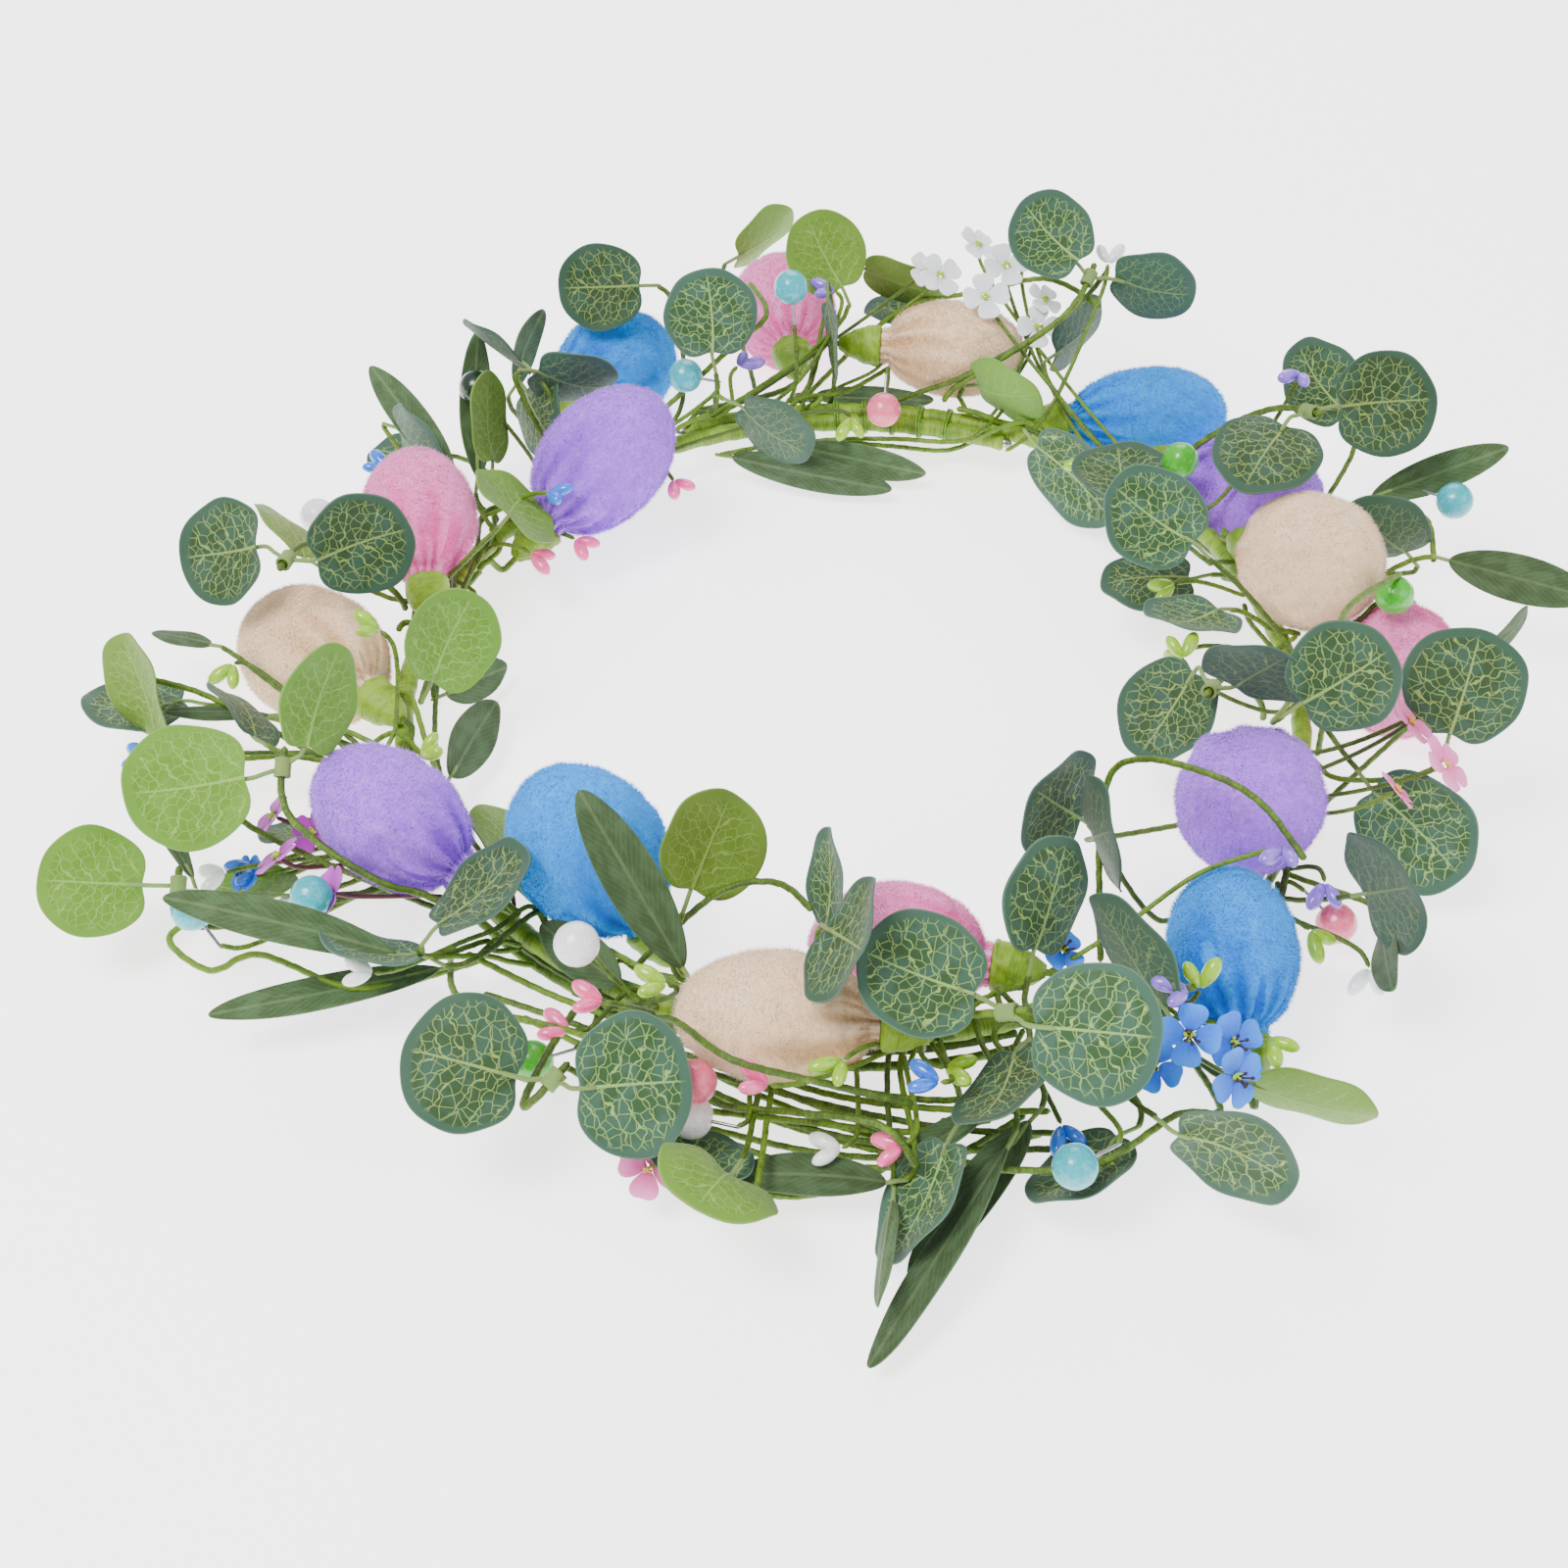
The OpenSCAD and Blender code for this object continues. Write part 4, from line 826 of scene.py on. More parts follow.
def velvet_paint(name, body, light, shadow):
    """Short-pile velvet: mottled where the pile lies differently, with fibre tips painted pale as painted
    sheen along its edges, pleat folds painted darker as painted shade, and the ridges between pleats painted
    paler as painted highlight.
    """
    m = Paint(name, rough=0.95, Sheen_Weight=0.55, Sheen_Roughness=0.4, Specular_IOR_Level=0.1)
    m.bsdf.inputs["Sheen Tint"].default_value = light
    local, mask = m.read("local"), m.read("mask", "Fac")
    streaks = m.noise(m.vec("MULTIPLY", local, (0.5, 1.0, 1.0)), 0.9, 3.0, 0.65)
    grain = m.noise(local, 5.0, 2.0, 0.6)
    blend = m.plus(m.times(streaks, 0.6), m.times(grain, 0.4))
    base = m.mix(m.ramp(blend, 0.42, 0.68), body, between(body, light, 0.3))
    tone = m.read("tone", "Fac")
    # painted sheen: the fibre tips (tone) are mixed towards the pale colour
    base = m.mix(m.ramp(tone, 0.05, 1.0, 0.0, 0.9), base, light)
    # painted shade: the pleat folds (mask 0.1 to 1) are mixed towards the shadow colour
    base = m.mix(m.ramp(mask, 0.1, 1.0, 0.0, 0.85), base, shadow)
    # painted highlight: the ridges between pleats (mask 1.4 to 2) are mixed towards the pale colour
    base = m.mix(m.ramp(mask, 1.4, 2.0, 0.0, 0.75), base, light)
    m.bump(grain, 0.8, 0.0003)
    return m.colour(base)


def plain_paint(name, colour, second, rough, scale=0.8, bump=0.0, **inputs):
    """A moulded or painted piece with faint mottling."""
    m = Paint(name, rough=rough, **inputs)
    local = m.read("local")
    n = m.noise(local, scale, 3.0, 0.6)
    if bump:
        m.bump(m.noise(local, 3.0, 3.0, 0.6), bump, 0.0002)
    return m.colour(m.mix(m.ramp(n, 0.35, 0.65), colour, second))


DARK = leaf_paint("dark_leaf", tint("#33502c"), tint("#9dbb63"), tint("#3d5f4b"), tint("#6d8f74"), 0.85, 0.66)
LIGHT = leaf_paint("light_leaf", tint("#668e26"), tint("#b0ce70"), tint("#6f9832"), tint("#93b758"),
                   0.5, 0.66)
WILLOW_LEAF = willow_paint()
TAPE = tape_paint("floral_tape", tint("#557512"), tint("#86a826"))
NECK = tape_paint("neck_tape", tint("#5f8010"), tint("#86a820"))
TWIG = tape_paint("taped_wire", tint("#3a520a"), tint("#648416"))
TIE = plain_paint("binding_wire", tint("#4f7a1e"), tint("#6f9a2c"), 0.35)
STEEL = plain_paint("steel_wire", tint("#8d9094"), tint("#b4b6b8"), 0.3, Metallic=1.0)
FOAM = plain_paint("foam_core", tint("#f1f1ee"), tint("#ffffff"), 0.8, 2.0, 0.5)
# each velvet: its colour, a pale colour for the mottling and for painted sheen and painted highlight, and a
# painted shade colour for the pleat folds
VELVET = {
    "blue": velvet_paint("velvet_blue", tint("#0098ff"), tint("#6ed4ff"), tint("#0056d8")),
    "purple": velvet_paint("velvet_purple", tint("#b464ff"), tint("#e4c2ff"), tint("#7c30dc")),
    "cream": velvet_paint("velvet_cream", tint("#ffdcb2"), tint("#fff8ee"), tint("#dcae7c")),
    "pink": velvet_paint("velvet_pink", tint("#ff82ca"), tint("#ffd2f0"), tint("#f24aa8")),
}
BUD = {c: plain_paint("bud_" + c, tint(a), tint(b), 0.2, 0.5, Coat_Weight=0.4, Coat_Roughness=0.08)
       for c, a, b in (
    ("lime", "#86b80c", "#9cc828"), ("blue", "#0f5fd8", "#2a78e8"), ("pink", "#f4488e", "#f7689f"),
    ("violet", "#7a55cc", "#9070dc"), ("white", "#eeeeee", "#fafafa"))}
BERRY = {c: plain_paint("berry_" + c, tint(a), tint(b), 0.3, 1.6, 0.12, Coat_Weight=0.5, Coat_Roughness=0.12)
         for c, a, b in (
    ("teal", "#149eae", "#34b0bc"), ("pink", "#e8567a", "#ec7290"), ("white", "#e6e4ea", "#f4f2f6"),
    ("green", "#2fa30c", "#44b31e"))}
BERRY["forest"] = plain_paint("berry_forest", tint("#0c2414"), tint("#14301d"), 0.25, 1.6, 0.2,
                              Coat_Weight=0.4)


def petal_paint(name, body, edge, heart):
    """Thin cloth petal: deeper at its heart, with faint rays towards the edge."""
    m = Paint(name, rough=0.6, Sheen_Weight=0.2)
    share = m.read("share")
    u, _, _ = m.split(share)
    rays = m.noise(m.vec("MULTIPLY", share, (1.5, 9.0, 1.0)), 1.6, 2.0)
    base = m.mix(m.ramp(m.plus(u, m.times(m.less(rays, 0.5), 0.5)), 0.35, 1.0),
                 body, edge)
    base = m.mix(m.ramp(u, 0.3, 0.05), base, heart)
    m.bump(rays, 0.4, 0.0002)
    return m.colour(base)


PETAL = {
    "white": petal_paint("petal_white", tint("#e9ecf6"), tint("#f8f8fc"), tint("#dfe8b0")),
    "magenta": petal_paint("petal_magenta", tint("#b800bc"), tint("#cf3ad0"), tint("#7a0f70")),
    "blue": petal_paint("petal_blue", tint("#0068f0"), tint("#1c8cff"), tint("#0044b4")),
    "pink": petal_paint("petal_pink", tint("#f464b4"), tint("#f98cca"), tint("#d03a84")),
}
EYE = plain_paint("floret_eye", tint("#b4d80a"), tint("#96bc08"), 0.5)
EYE_DARK = plain_paint("stamens", tint("#2a1519"), tint("#3c2026"), 0.5)
EYE_GOLD = plain_paint("mustard_eye", tint("#c99a3a"), tint("#e0b855"), 0.5)
MAROON = plain_paint("maroon_twig", tint("#4a1a20"), tint("#5f2830"), 0.45)

# ---------------------------------------------------------------- hoop


def wound(path, radius, sides, gap, pitch, relief, tone=0.5):
    return sweep(path, radius, sides, gap, pitch, relief, tone, ends=0.5)


build("hoop_wire", [sweep(strand(SEAM_START - 1, SEAM_END + 361), WIRE_D / 2, 12, 1.0, tone=0.5)],
      STEEL, "steel_wire", ["hoop_wire"])
build("hoop_tape", [wound(strand(SEAM_START, SEAM_END + 360), TAPE_R - 0.02, 28, 0.45, 7.0, 0.3)],
      TAPE, "floral_tape", ["hoop_tape"])


TIE_R = 0.27


def tie_loop(angle, r, shift):
    """One turn of thin wire round both strands, as a closed ring."""
    t = np.linspace(0, 2 * math.pi, 48, endpoint=False)
    out = np.where(np.cos(t) > 0, SEAM_OUT, 0) + r * np.cos(t)
    up = r * np.sin(t)
    a = ang(angle) + (shift + 0.25 * np.sin(t)) / HOOP_R
    path = np.stack([(HOOP_R + out) * np.cos(a), (HOOP_R + out) * np.sin(a), up], 1)
    tangents = unit(np.roll(path, -1, 0) - np.roll(path, 1, 0))
    along = np.array([-math.sin(ang(angle)), math.cos(ang(angle)), 0])
    n = unit(along - (tangents @ along)[:, None] * tangents)
    m = np.cross(tangents, n)
    phi = circle(8)
    rings = fresh(48, 8, 0.5)
    rings[..., :3] = around(path, TIE_R, n, m, phi)
    rings[..., 3:6] = rings[..., :3]
    return tube(rings, loop=True)


build("closing_ties", [tie_loop(a, TAPE_R + 0.4, s) for a in (75, 79, 83, 87, 91) for s in (-0.3, 0.3)],
      TIE, "binding_wire", ["closing_ties"])
bundle = []
for b in BUNDLE_RUNS:
    run = [clock([b[0] + (b[1] - b[0]) * k / 10, b[2], b[3]]) for k in range(11)]
    bundle.append(wound(run, 0.88, 12, 0.5, 4.0, 0.16, rng.random()))
build("bundle_stems", bundle, TWIG, "taped_wire", ["bundle_stems"])


def twig(path, radius, sides=10):
    return sweep(path, radius, sides, 0.55, 3.2, radius * 0.22, ends=0.7)


def routes(rows):
    return [twig(clear_path(spline([clock(p) for p in r], 3), all_lumps), TWIG_R * 0.9) for r in rows]


def leaf_twigs(keys, willow=None):
    rows = [p for k in keys for p in LEAVES[k]]
    shifts = [s for k in keys for s in leaf_shift[k]]
    paths = leaf_wires(rows, shifts)
    if willow:
        paths += leaf_wires(WILLOW[willow], willow_shift[willow])
    return [twig(p, TWIG_R * 0.8) for p in paths]


for node, keys, willow in (("left_twigs", ["left_dark_leaves", "left_light_leaves"], "left"),
                           ("back_twigs", ["back_dark_leaves", "light_leaves"], None),
                           ("right_twigs", ["right_dark_leaves"], None),
                           ("front_twigs", ["front_dark_leaves"], "right")):
    build(node, routes(ROUTES[node]) + leaf_twigs(keys, willow), TWIG, "taped_wire", [node])

stems = []
for name, p in PAIRS.items():
    sleeve, way = clock(p) + pair_shift[name], axis_of(p)
    root, near = clock(p[5:8]), sleeve - way * 4
    rise = clear_path(bezier(root, root + [0, 0, 6], near - way * 12, near, 7), egg_lumps)
    stems.append(twig(np.vstack([rise, sleeve, sleeve + way * 4]), TWIG_R))
build("pair_twigs", stems, TWIG, "taped_wire", ["pair_twigs"])

picks = [sweep(wire_path(b, s, 0, n), TWIG_R * 0.7, 8, 0.7, 2.4, 0.08)
         for n, (b, s) in enumerate(zip(ALL_BUDS, bud_shift))]
picks += [sweep(wire_path([b[0], b[1], b[2], b[3] + 180, -b[4]], s, BERRY_D / 2 + 4, n), TWIG_R * 0.7, 8,
                0.7, 2.4, 0.08) for n, (b, s) in enumerate(zip(ALL_BERRIES, berry_shift))]
build("pick_wires", picks, TWIG, "taped_wire", ["pick_wires"])

# ---------------------------------------------------------------- eggs


def place(rings, origin, x, y, z):
    """Turns ring points from a piece's own frame to the crown's, and keeps the local ones."""
    p = rings[..., :3].copy()
    rings[..., 3:6] = p
    rings[..., :3] = origin + p[..., :1] * x + p[..., 1:2] * y + p[..., 2:] * z
    return rings


def lathe(rings, x, radius, phi):
    """Writes ring points about a piece's own x axis."""
    rings[..., 0] = x
    rings[..., 1] = radius * np.cos(phi)
    rings[..., 2] = radius * np.sin(phi)


def egg_profile(length, d, count):
    """Half outline from the stem end to the round end: x, radius and angle from the stem end."""
    theta = np.linspace(0, math.pi, count)
    x = -length / 2 * np.cos(theta)
    blunt = 1 - 0.22 * np.clip(np.cos(theta), 0, 1)
    r = d / 2 * np.clip(np.sin(theta), 0, 1) ** blunt * (1 + 0.05 * np.cos(theta))
    return x, r, theta


def pile(rings, count, seed):
    """Short fibres that lean the same way as their neighbours, each a thin closed spike."""
    r = np.random.default_rng(seed)
    n, m = rings.shape[:2]
    pos = rings[..., :3]
    down = np.gradient(pos, axis=0)
    sideways = np.roll(pos, -1, 1) - np.roll(pos, 1, 1)
    area = np.linalg.norm(np.cross(down, sideways), axis=-1)
    area[0] = area[-1] = 0
    pick = r.choice(n * m, size=count, p=(area / area.sum()).ravel())
    i, j = pick // m, pick % m
    u, v = r.uniform(-0.5, 0.5, (2, count))
    at = pos[i, j] + down[i, j] * u[:, None] + sideways[i, j] * v[:, None] * 0.5
    normal = unit(np.cross(sideways[i, j], down[i, j]))
    t = unit(down[i, j])
    b = np.cross(normal, t)
    lay = bumpy(at, 11, seed) * 4 + r.normal(0, 0.5, count)
    lean = np.clip(0.75 + 0.5 * bumpy(at, 7, seed + 1) + r.normal(0, 0.2, count), 0.1, 1.3)
    side = np.cos(lay)[:, None] * t + np.sin(lay)[:, None] * b
    way = np.cos(lean)[:, None] * normal + np.sin(lean)[:, None] * side
    length = r.uniform(0.55, 1.2, count)
    wide = 0.055
    corners = [at - normal * 0.06 + wide * (math.cos(q) * t + math.sin(q) * b) for q in (0, 2.1, 4.2)]
    tip = at + way * length[:, None]
    pts = np.zeros((count, 4, COLUMNS))
    pts[:, :, 3:] = rings[i, j][:, None, 3:]
    for k, p in enumerate(corners + [tip]):
        pts[:, k, :3] = p
    # tone: near zero at each fibre's foot and raised at its tip, which the velvet paints paler as painted
    # sheen
    pts[:, :, 9] = 0.08 * r.random(count)[:, None]
    pts[:, 3, 9] += 0.35 + 0.6 * r.random(count)
    base = 4 * np.arange(count)[:, None]
    tris = np.vstack([base + [0, 2, 1], base + [0, 1, 3], base + [1, 2, 3], base + [2, 0, 3]])
    return pts.reshape(-1, COLUMNS), np.zeros((0, 4), int), tris


CORE_FIT = 0.985


def egg(index, e):
    """Gathered velvet cover: pleats start in the neck and fade over the first half."""
    r = np.random.default_rng(100 + index)
    length, d = e[5], e[6]
    rings_n, sides = 110, 200
    x, rad, theta = egg_profile(length, d, rings_n)
    collar = NECK_D / 2 - 0.5
    keep = (theta < math.pi / 2) & (rad < collar)
    rad = np.where(keep, np.sqrt(rad ** 2 + (collar ** 2 - rad ** 2) * 0.92), rad)
    x = x - 1.5 * np.clip(1 - theta / 0.25, 0, 1)
    rad[-1] = 0.02
    phi = circle(sides)
    count = 12
    centres = (np.arange(count) + r.uniform(-0.3, 0.3, count)) * 2 * math.pi / count
    relief = np.zeros((rings_n, sides))
    fold = np.zeros((rings_n, sides))
    for c in centres:
        reach = r.uniform(0.8, 1.9)
        depth = r.uniform(0.8, 1.9)
        wide = r.uniform(0.09, 0.17)
        drift = r.uniform(-0.12, 0.12)
        gap = (phi[None] - c - drift * theta[:, None] + math.pi) % (2 * math.pi) - math.pi
        wider = wide * (0.8 + 0.8 * theta[:, None])
        shape = np.exp(-(gap / wider) ** 2) * np.exp(-(theta[:, None] / reach) ** 3)
        relief -= depth * shape
        fold += shape
    relief *= np.minimum(1, rad / 8)[:, None] * 0.9
    pole = np.sin(theta)[:, None]
    wobble = 0.35 * bumpy(np.stack([x[:, None] + 0 * phi, rad[:, None] * np.cos(phi),
                                    rad[:, None] * np.sin(phi)], -1), 14, 40 + index) * pole
    rr = rad[:, None] + relief + wobble
    rings = fresh(rings_n, sides)
    lathe(rings, x[:, None], rr, phi)
    # mask below: the pleat folds get 0.1 to 1, painted shade; the ridges between pleats near the stem end get
    # up to 1.9, painted highlight
    ridge_highlight = np.exp(-(theta[:, None] / 1.0) ** 2) * np.clip(1 - fold * 2.2, 0, 1)
    rings[..., 10] = np.clip(fold * 0.9, 0, 1) + np.where(fold < 0.12, ridge_highlight * 1.9, 0)
    axes = own_axes(e)
    rings = place(rings, clock(e), *axes)
    x, rad, theta = egg_profile(length - 2, d - 2, 24)
    rad = rad * (1 - 0.1 * np.exp(-(theta / 1.1) ** 2))
    inner, core = fresh(24, 48), fresh(24, 48)
    lathe(inner, x[:, None], rad[:, None], circle(48))
    lathe(core, CORE_FIT * x[:, None], CORE_FIT * rad[:, None], circle(48))
    inner, core = place(inner, clock(e), *axes), place(core, clock(e), *axes)
    return [tube(rings), tube(inner, inward=True), pile(rings, PILE, 900 + 7 * index)], tube(core)


def neck(index, e):
    """Crepe tape wound over the gathered cloth and down to the stem."""
    r = np.random.default_rng(300 + index)
    n, sides = 46, 64
    t = np.linspace(0, 1, n)
    half = NECK_D / 2
    rad = np.interp(t, [0, 0.05, 0.4, 0.8, 1], [half * 0.9, half, half - 0.5, half - 2.2, TWIG_R + 0.4])
    phi = circle(sides)
    lap = (t[:, None] * 3.1 + phi / (2 * math.pi)) % 1
    step = 0.3 * (lap - np.clip((lap - 0.86) / 0.14, 0, 1) * lap - 0.4)
    creases = np.zeros((n, sides))
    for _ in range(12):
        c, w = r.uniform(0, 2 * math.pi), r.uniform(0.1, 0.3)
        gap = (phi[None] - c - r.uniform(-2, 2) * t[:, None] + math.pi) % (2 * math.pi) - math.pi
        creases -= r.uniform(0.1, 0.28) * np.exp(-(gap / w) ** 2)
    rr = rad[:, None] + step + creases + 0.2
    rings = fresh(n, sides, r.random())
    lathe(rings, -(e[5] / 2 + 1.6 + t * NECK_LEN)[:, None], rr, -phi)
    return tube(place(rings, clock(e), *own_axes(e)))


PILE = 22000
cores, necks, egg_stems = [], [], []
for i, (node, e) in enumerate(zip(EGG_NODES, EGGS)):
    shade = node.split("_")[0]
    cover, core = egg(i, e)
    obj = build(node, cover, VELVET[shade], "velvet_" + shade, [node])
    cores.append(core)
    necks.append(neck(i, e))
    way = axis_of(e)
    start, end = clock(e) - way * (e[5] / 2 + 2), clock(e[7:10])
    radial = end * [1, 1, 0] / np.linalg.norm(end[:2])
    side = np.cross(UP, radial)
    turn = 1 if side.dot(start - end) > 0 else -1
    outlet = start - way * (NECK_LEN + 1)
    egg_stems.append(twig(np.vstack([start, bezier(outlet, outlet - way * 6, end + side * turn * 9, end, 6)]),
                          TWIG_R))
build("egg_cores", cores, FOAM, "foam_core", ["egg_cores"])
build("egg_necks", necks, NECK, "neck_tape", ["egg_necks"])
build("egg_stems", egg_stems, TWIG, "taped_wire", ["egg_stems"])

# ---------------------------------------------------------------- leaves


LEAF_HALF = 0.16
PETAL_HALF = 0.1


def leaf(p, shift, seed, willow=False, stalk=True):
    """A cut cloth leaf with its wire stalk: a thin closed sheet, cupped, with raised ribs."""
    r = np.random.default_rng(seed)
    length, width = p[6], p[7]
    nr, na = (16, 96) if willow else (28, 112)
    a = circle(na)
    if willow:
        ox = length * (1 - np.cos(a)) / 2
        oy = -width / 2 * np.sin(a) * (0.75 + 0.25 * np.abs(np.sin(a)))
    else:
        turn = (a + math.pi) % (2 * math.pi) - math.pi
        notch = np.exp(-(turn / 0.26) ** 2)
        lobes = np.exp(-((np.abs(turn) - 0.62) / 0.3) ** 2)
        ripple = 1 + 0.012 * np.sin(3 * a + r.random() * 6) + 0.008 * np.sin(7 * a + r.random() * 6)
        ox = length / 2 - length / 2 * np.cos(a) * ripple + length * (0.06 * notch - 0.03 * lobes)
        oy = -width / 2 * np.sin(a) * ripple
    cx = length / 2
    u = np.linspace(0.02, 1, nr)
    x = cx + u[:, None] * (ox - cx)
    y = u[:, None] * oy
    rim = (1 - u)[:, None] * np.hypot(ox - cx, oy)
    small = min(length, width)
    cup = r.uniform(0.03, 0.075) * small * (1 if r.random() < 0.7 else -1)
    bend = r.uniform(-0.06, 0.06) * length
    fold = r.uniform(0.0, 0.12)
    v = 2 * y / width
    along = x / length
    z = cup * (u[:, None] ** 2 - 0.4) + bend * ((2 * along - 1) ** 2 - 0.35) * 0.6
    z = z + fold * np.abs(y) * (1 - 0.4 * u[:, None])
    z = z + 0.035 * small * np.sin(2 * a + r.random() * 6) * u[:, None] ** 2
    z = z + 0.018 * small * np.sin(5 * a + r.random() * 6) * u[:, None] ** 4
    z = z - z.mean()
    rib = np.exp(-(y / 0.32) ** 2) * np.clip(1.1 - along, 0, 1)
    ahead = along - 0.3 * np.abs(v) ** 0.8 + 0.035 * np.sign(v)
    wave = np.abs((ahead * 6.5) % 1 - 0.5)
    side_rib = np.clip((wave - 0.38) / 0.1, 0, 1) * np.clip(rim / 2, 0, 1) * (0 if willow else 1)
    top = z + LEAF_HALF + 0.2 * rib + 0.06 * side_rib
    under = z - LEAF_HALF - 0.12 * rib
    rings = fresh(2 * nr, na, r.random())
    for k, (zz, order, mask) in enumerate(((under, slice(None), 1.0), (top, slice(None, None, -1), 0.0))):
        part = rings[k * nr:(k + 1) * nr]
        part[..., :3] = np.stack([x[order], y[order], zz[order]], -1)
        part[..., 6] = along[order]
        part[..., 7] = v[order]
        part[..., 8] = 1
        part[..., 10] = mask
    rim_all = np.vstack([rim, rim[::-1]])
    ax, ay = axis_of(p), side_of(p)
    if np.cross(ax, ay)[2] < 0:
        ay = -ay
    az = np.cross(ax, ay)
    origin = clock(p) + shift
    rings = place(rings, origin, ax, ay, az)
    rings[..., 5] = rim_all
    parts = [tube(rings)]
    if stalk:
        base = float(np.interp(0.1, [0, 1], [z[-1, 0], z[-1, na // 2]]))
        path = np.array([[-STALK, 0, 0], [-STALK * 0.5, 0, base * 0.4], [0.3, 0, base - 0.1],
                         [length * 0.16, 0, base - 0.3]])
        world = origin + path[:, :1] * ax + path[:, 1:2] * ay + path[:, 2:] * az
        pts, quads, tris = sweep(world, np.array(0.42), 10, 0.5, ends=0.5)
        pts[:, 10] = 2.0
        parts.append((pts, quads, tris))
    return parts


for k, (node, rows) in enumerate(LEAVES.items()):
    paint, slot = (LIGHT, "leaf_light") if "light" in node else (DARK, "leaf_dark")
    for i, p in enumerate(rows):
        build(f"{node}_{i + 1}", leaf(p, leaf_shift[node][i], 1000 + 50 * k + i), paint, slot, [node])
for k, (node, rows) in enumerate(WILLOW.items()):
    for i, p in enumerate(rows):
        build(f"willow_{node}_{i + 1}", leaf(p, willow_shift[node][i], 2000 + 50 * k + i, willow=True),
              WILLOW_LEAF, "leaf_willow", ["willow_leaves"])


def sleeve(p, shift):
    """A short moulded tube with rounded lips and a clear bore."""
    outline = [(-1.8, 1.02), (-1.8, 1.45), (-1.6, 1.6), (-0.8, 1.52), (0.8, 1.52), (1.6, 1.6), (1.8, 1.45),
               (1.8, 1.02), (0.9, 1.0), (-0.9, 1.0)]
    x, radius = np.array(outline).T[..., None]
    rings = fresh(len(outline), 40, 0.5, 2.0)
    lathe(rings, x, radius, circle(40))
    return tube(place(rings, clock(p) + shift, *own_axes(p)), loop=True)


for k, (name, p) in enumerate(PAIRS.items()):
    light = name in ("pair_left_tip", "pair_left_front")
    shift = pair_shift[name]
    parts = [sleeve(p, shift)]
    centre = clock(p) + shift
    for i, blade in enumerate(p[8]):
        end = clock(blade) + shift
        way = unit(end - centre)
        x = axis_of(blade)
        path = np.array([centre + way * 1.25, centre + (end - centre) * 0.6, end, end + x * blade[6] * 0.2])
        pts, quads, tris = sweep(path, 0.45, 10, 0.5, ends=0.5)
        pts[:, 10] = 2.0
        parts.append((pts, quads, tris))
        parts += leaf(blade, shift, 3000 + 10 * k + i, stalk=False)
    build("leaf_" + name, parts, LIGHT if light else DARK, "leaf_light" if light else "leaf_dark",
          ["leaf_" + name], body=name)

# ---------------------------------------------------------------- buds, berries and florets


def teardrop(b, shift, side, seed):
    r = np.random.default_rng(seed)
    a = np.linspace(0, math.pi, 22)
    size = 1 if side < 0 else 0.86
    x = size * BUD_LEN * (1 - np.cos(a)) / 2
    rad = size * BUD_D / 2 * np.sin(a) ** 1.15 * (1 - 0.16 * np.cos(a)) * 0.86
    rad[0], rad[-1] = 0.12, 0.02
    rings = fresh(22, 22, r.random())
    lathe(rings, x[:, None] + 0.4, rad[:, None], circle(22))
    t = ang(side * PIP_SPREAD)
    ax, ay, az = own_axes(b)
    return tube(place(rings, clock(b) + shift, ax * math.cos(t) + ay * math.sin(t),
                      ay * math.cos(t) - ax * math.sin(t), az))


start = 0
for c, rows in BUDS.items():
    shifts = bud_shift[start:start + len(rows)]
    parts = [teardrop(b, s, side, 5000 + 10 * (start + i) + side)
             for i, (b, s) in enumerate(zip(rows, shifts)) for side in (-1, 1)]
    build(c + "_buds", parts, BUD[c], "bud_" + c, [c + "_buds"])
    start += len(rows)


def berry(b, shift, seed):
    n, sides = 40, 64
    a = np.linspace(0, math.pi, n)
    phi = circle(sides)
    rings = fresh(n, sides, 0.5)
    ring = np.stack([-np.cos(a)[:, None] + 0 * phi, np.sin(a)[:, None] * np.cos(phi),
                     np.sin(a)[:, None] * np.sin(phi)], -1)
    dent = 0.35 * np.exp(-((math.pi - a) / 0.16) ** 2)[:, None]
    rad = BERRY_D / 2 - 0.08 + 0.07 * bumpy(ring * 4, 3.0, seed) - dent
    rings[..., :3] = ring * rad[..., None]
    for pole in (0, -1):
        rings[pole, :, 1] = 0.01 * np.cos(phi)
        rings[pole, :, 2] = 0.01 * np.sin(phi)
    return tube(place(rings, clock(b) + shift, *own_axes(b)))


start = 0
for c, rows in BERRIES.items():
    node = "green_berries" if c == "forest" else c + "_berries"
    parts = [berry(b, berry_shift[start + i], 6000 + start + i) for i, b in enumerate(rows)]
    build(node + ("_dark" if c == "forest" else ""), parts, BERRY[c],
          "berry_green" if c == "forest" else "berry_" + c, [node])
    start += len(rows)
pins = []
for b, s in zip(ALL_BERRIES, berry_shift):
    o, x = clock(b) + s, axis_of(b)
    pin = [o + x * 0.1, o + x * (BERRY_D / 2 + 2.5), o + x * (BERRY_D / 2 + 5)]
    pins.append(sweep(pin, 0.33, 10, 0.5, tone=0.5))
build("berry_pins", pins, STEEL, "steel_wire", ["berry_pins"])


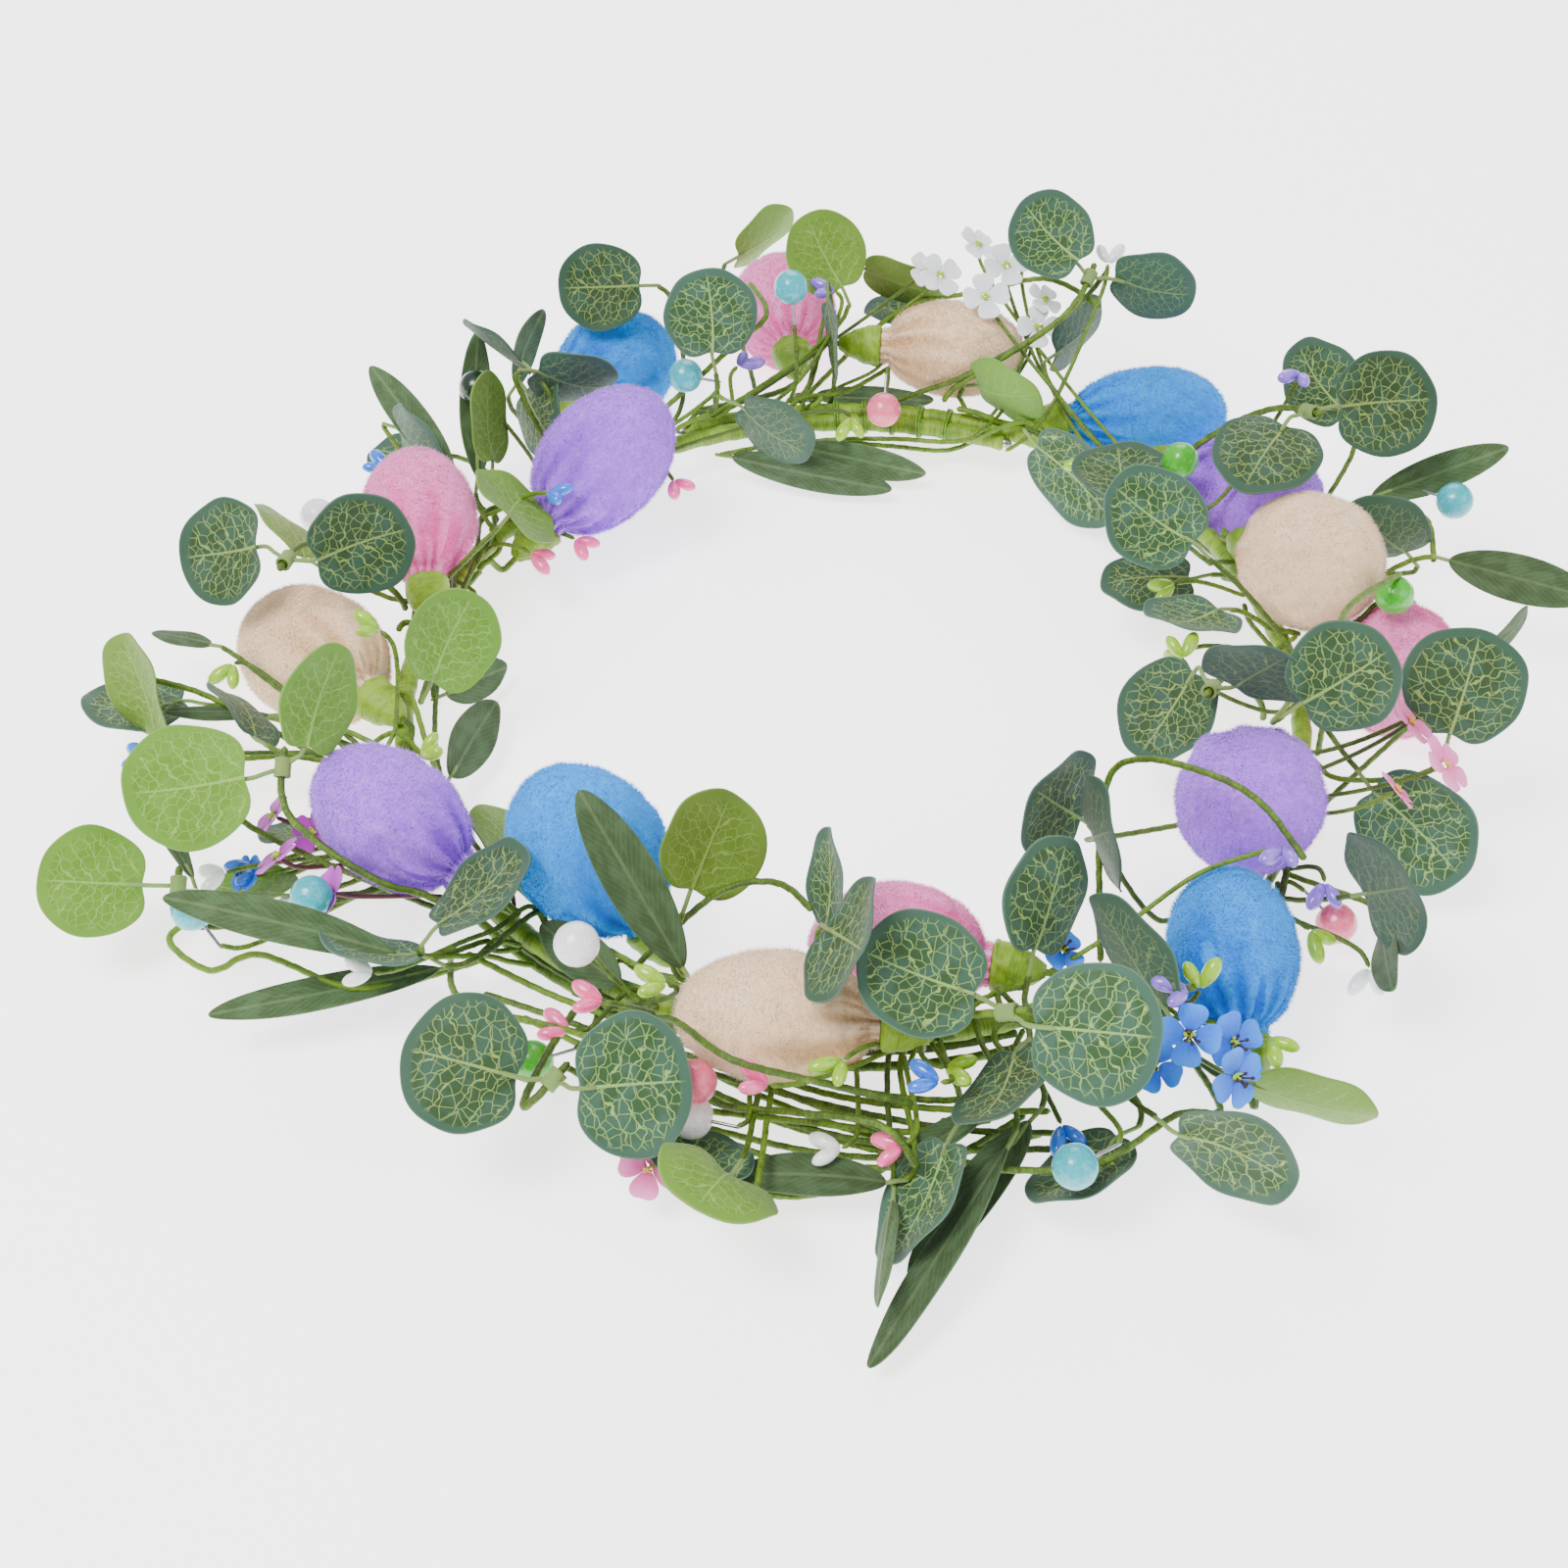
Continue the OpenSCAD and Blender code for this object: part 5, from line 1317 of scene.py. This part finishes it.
def floret(f, shift, seed):
    """Petals cut from thin cloth and pressed: each one cupped, with a rounded, slightly notched tip."""
    r = np.random.default_rng(seed)
    count, d = f[5], f[6]
    ax, ay, az = own_axes(f)
    parts = []
    nr, na = 10, 44
    reach = d / 2
    for k in range(count):
        t = 2 * math.pi * k / count
        # petal frame: out along the petal, across it, and up along the floret's axis
        out = -math.cos(t) * az + math.sin(t) * ay
        across, up = np.cross(ax, out), ax
        a = circle(na)
        u = np.linspace(0.03, 1, nr)
        half_w = reach * (0.62 if count == 4 else 0.5)
        px = reach * (0.56 - 0.46 * np.cos(a)) - reach * 0.05 * np.exp(-((a - math.pi) / 0.3) ** 2)
        py = -half_w * np.sin(a) * (0.72 - 0.28 * np.cos(a))
        cx = reach * 0.6
        x = cx + u[:, None] * (px - cx)
        y = u[:, None] * py
        tilt = r.uniform(0.02, 0.16)
        z = 0.25 + tilt * x + 0.07 * (y / half_w) ** 2 * reach * 0.9 + r.uniform(-0.02, 0.05) * x ** 2 / reach
        z = z + 0.02 * reach * np.sin(4 * a + r.random() * 6) * u[:, None] ** 3
        rings = fresh(2 * nr, na, r.random())
        faces = ((z - PETAL_HALF, slice(None)), (z + PETAL_HALF, slice(None, None, -1)))
        for h, (zz, order) in enumerate(faces):
            part = rings[h * nr:(h + 1) * nr]
            part[..., :3] = np.stack([x[order], y[order], zz[order]], -1)
            part[..., 6] = x[order] / reach
            part[..., 7] = np.arctan2(y, x)[order] / 1.2
        parts.append(tube(place(rings, clock(f) + shift, out, across, up)))
    return parts


GRAIN_R = 0.34


def floret_eye(f, shift, seed):
    """A low button of small grains."""
    r = np.random.default_rng(seed)
    ax, ay, az = own_axes(f)
    parts = []
    for _ in range(12):
        t, far = r.uniform(0, 2 * math.pi), 0.85 * math.sqrt(r.random())
        height = 0.75 + 0.5 * (1 - far)
        centre = clock(f) + shift + ax * height + far * (math.cos(t) * ay + math.sin(t) * az)
        a = np.linspace(0, math.pi, 7)[:, None]
        rings = fresh(7, 8, r.random())
        lathe(rings, -GRAIN_R * np.cos(a), GRAIN_R * np.sin(a) + 0.004, circle(8))
        parts.append(tube(place(rings, centre, ax, ay, az)))
    return parts


def stamens(f, shift, seed):
    """Thin dark threads with a bead at each tip."""
    r = np.random.default_rng(seed)
    ax, ay, az = own_axes(f)
    parts = []
    for k in range(5):
        t, lean = 2 * math.pi * (k + r.uniform(-0.3, 0.3)) / 5, r.uniform(0.3, 0.8)
        way = unit(ax + lean * (math.cos(t) * ay + math.sin(t) * az))
        o = clock(f) + shift + ax * 0.4
        tip = o + way * r.uniform(2.0, 3.0)
        parts.append(sweep([o, (o + tip) / 2 + ax * 0.15, tip], 0.16, 6, 0.4))
        parts.append(sweep([tip - way * 0.35, tip, tip + way * 0.4], np.array(0.34), 8, 0.12, ends=1.0))
    return parts


start = 0
eyes, dark_eyes, gold_eyes, stalks, maroon = [], [], [], [], []
for c, rows in FLORETS.items():
    petals = []
    for i, f in enumerate(rows):
        n = start + i
        petals += floret(f, floret_shift[n], 7000 + n)
        if c == "blue":
            dark_eyes += stamens(f, floret_shift[n], 8000 + n)
        (gold_eyes if c == "pink" else eyes).extend(floret_eye(f, floret_shift[n], 8500 + n))
        stalk = sweep(wire_path(f, floret_shift[n], 0, n), 0.45, 8, 0.7)
        (maroon if c == "magenta" else stalks).append(stalk)
    build(c + "_florets", petals, PETAL[c], "petal_" + c, [c + "_florets"])
    start += len(rows)
build("floret_eyes", eyes, EYE, "floret_eye", ["floret_eyes"])
build("floret_eyes_gold", gold_eyes, EYE_GOLD, "floret_eye", ["floret_eyes"])
build("floret_stamens", dark_eyes, EYE_DARK, "floret_eye", ["floret_eyes"])
build("floret_stalks", stalks, TWIG, "taped_wire", ["floret_stalks"])
build("floret_stalks_maroon", maroon, MAROON, "taped_wire", ["floret_stalks"])

# ---------------------------------------------------------------- floor

TABLE_Z = -10.0
FLOOR_GAP = 0.02
FLOOR_HALF = 3
floor_z = (TABLE_Z - FLOOR_GAP) * MM
floor = bpy.data.meshes.new("floor")
corners = [(x * FLOOR_HALF, y * FLOOR_HALF, floor_z) for x, y in ((-1, -1), (1, -1), (1, 1), (-1, 1))]
floor.from_pydata(corners, [], [(0, 1, 2, 3)])
ground = Paint("floor", rough=0.9, Specular_IOR_Level=0.1)
ground.bsdf.inputs["Emission Color"].default_value = (1, 1, 1, 1)
ground.bsdf.inputs["Emission Strength"].default_value = 2.2
floor.materials.append(ground.colour((0.93, 0.93, 0.93, 1)))
floor_obj = bpy.data.objects.new("floor", floor)
bpy.context.scene.collection.objects.link(floor_obj)
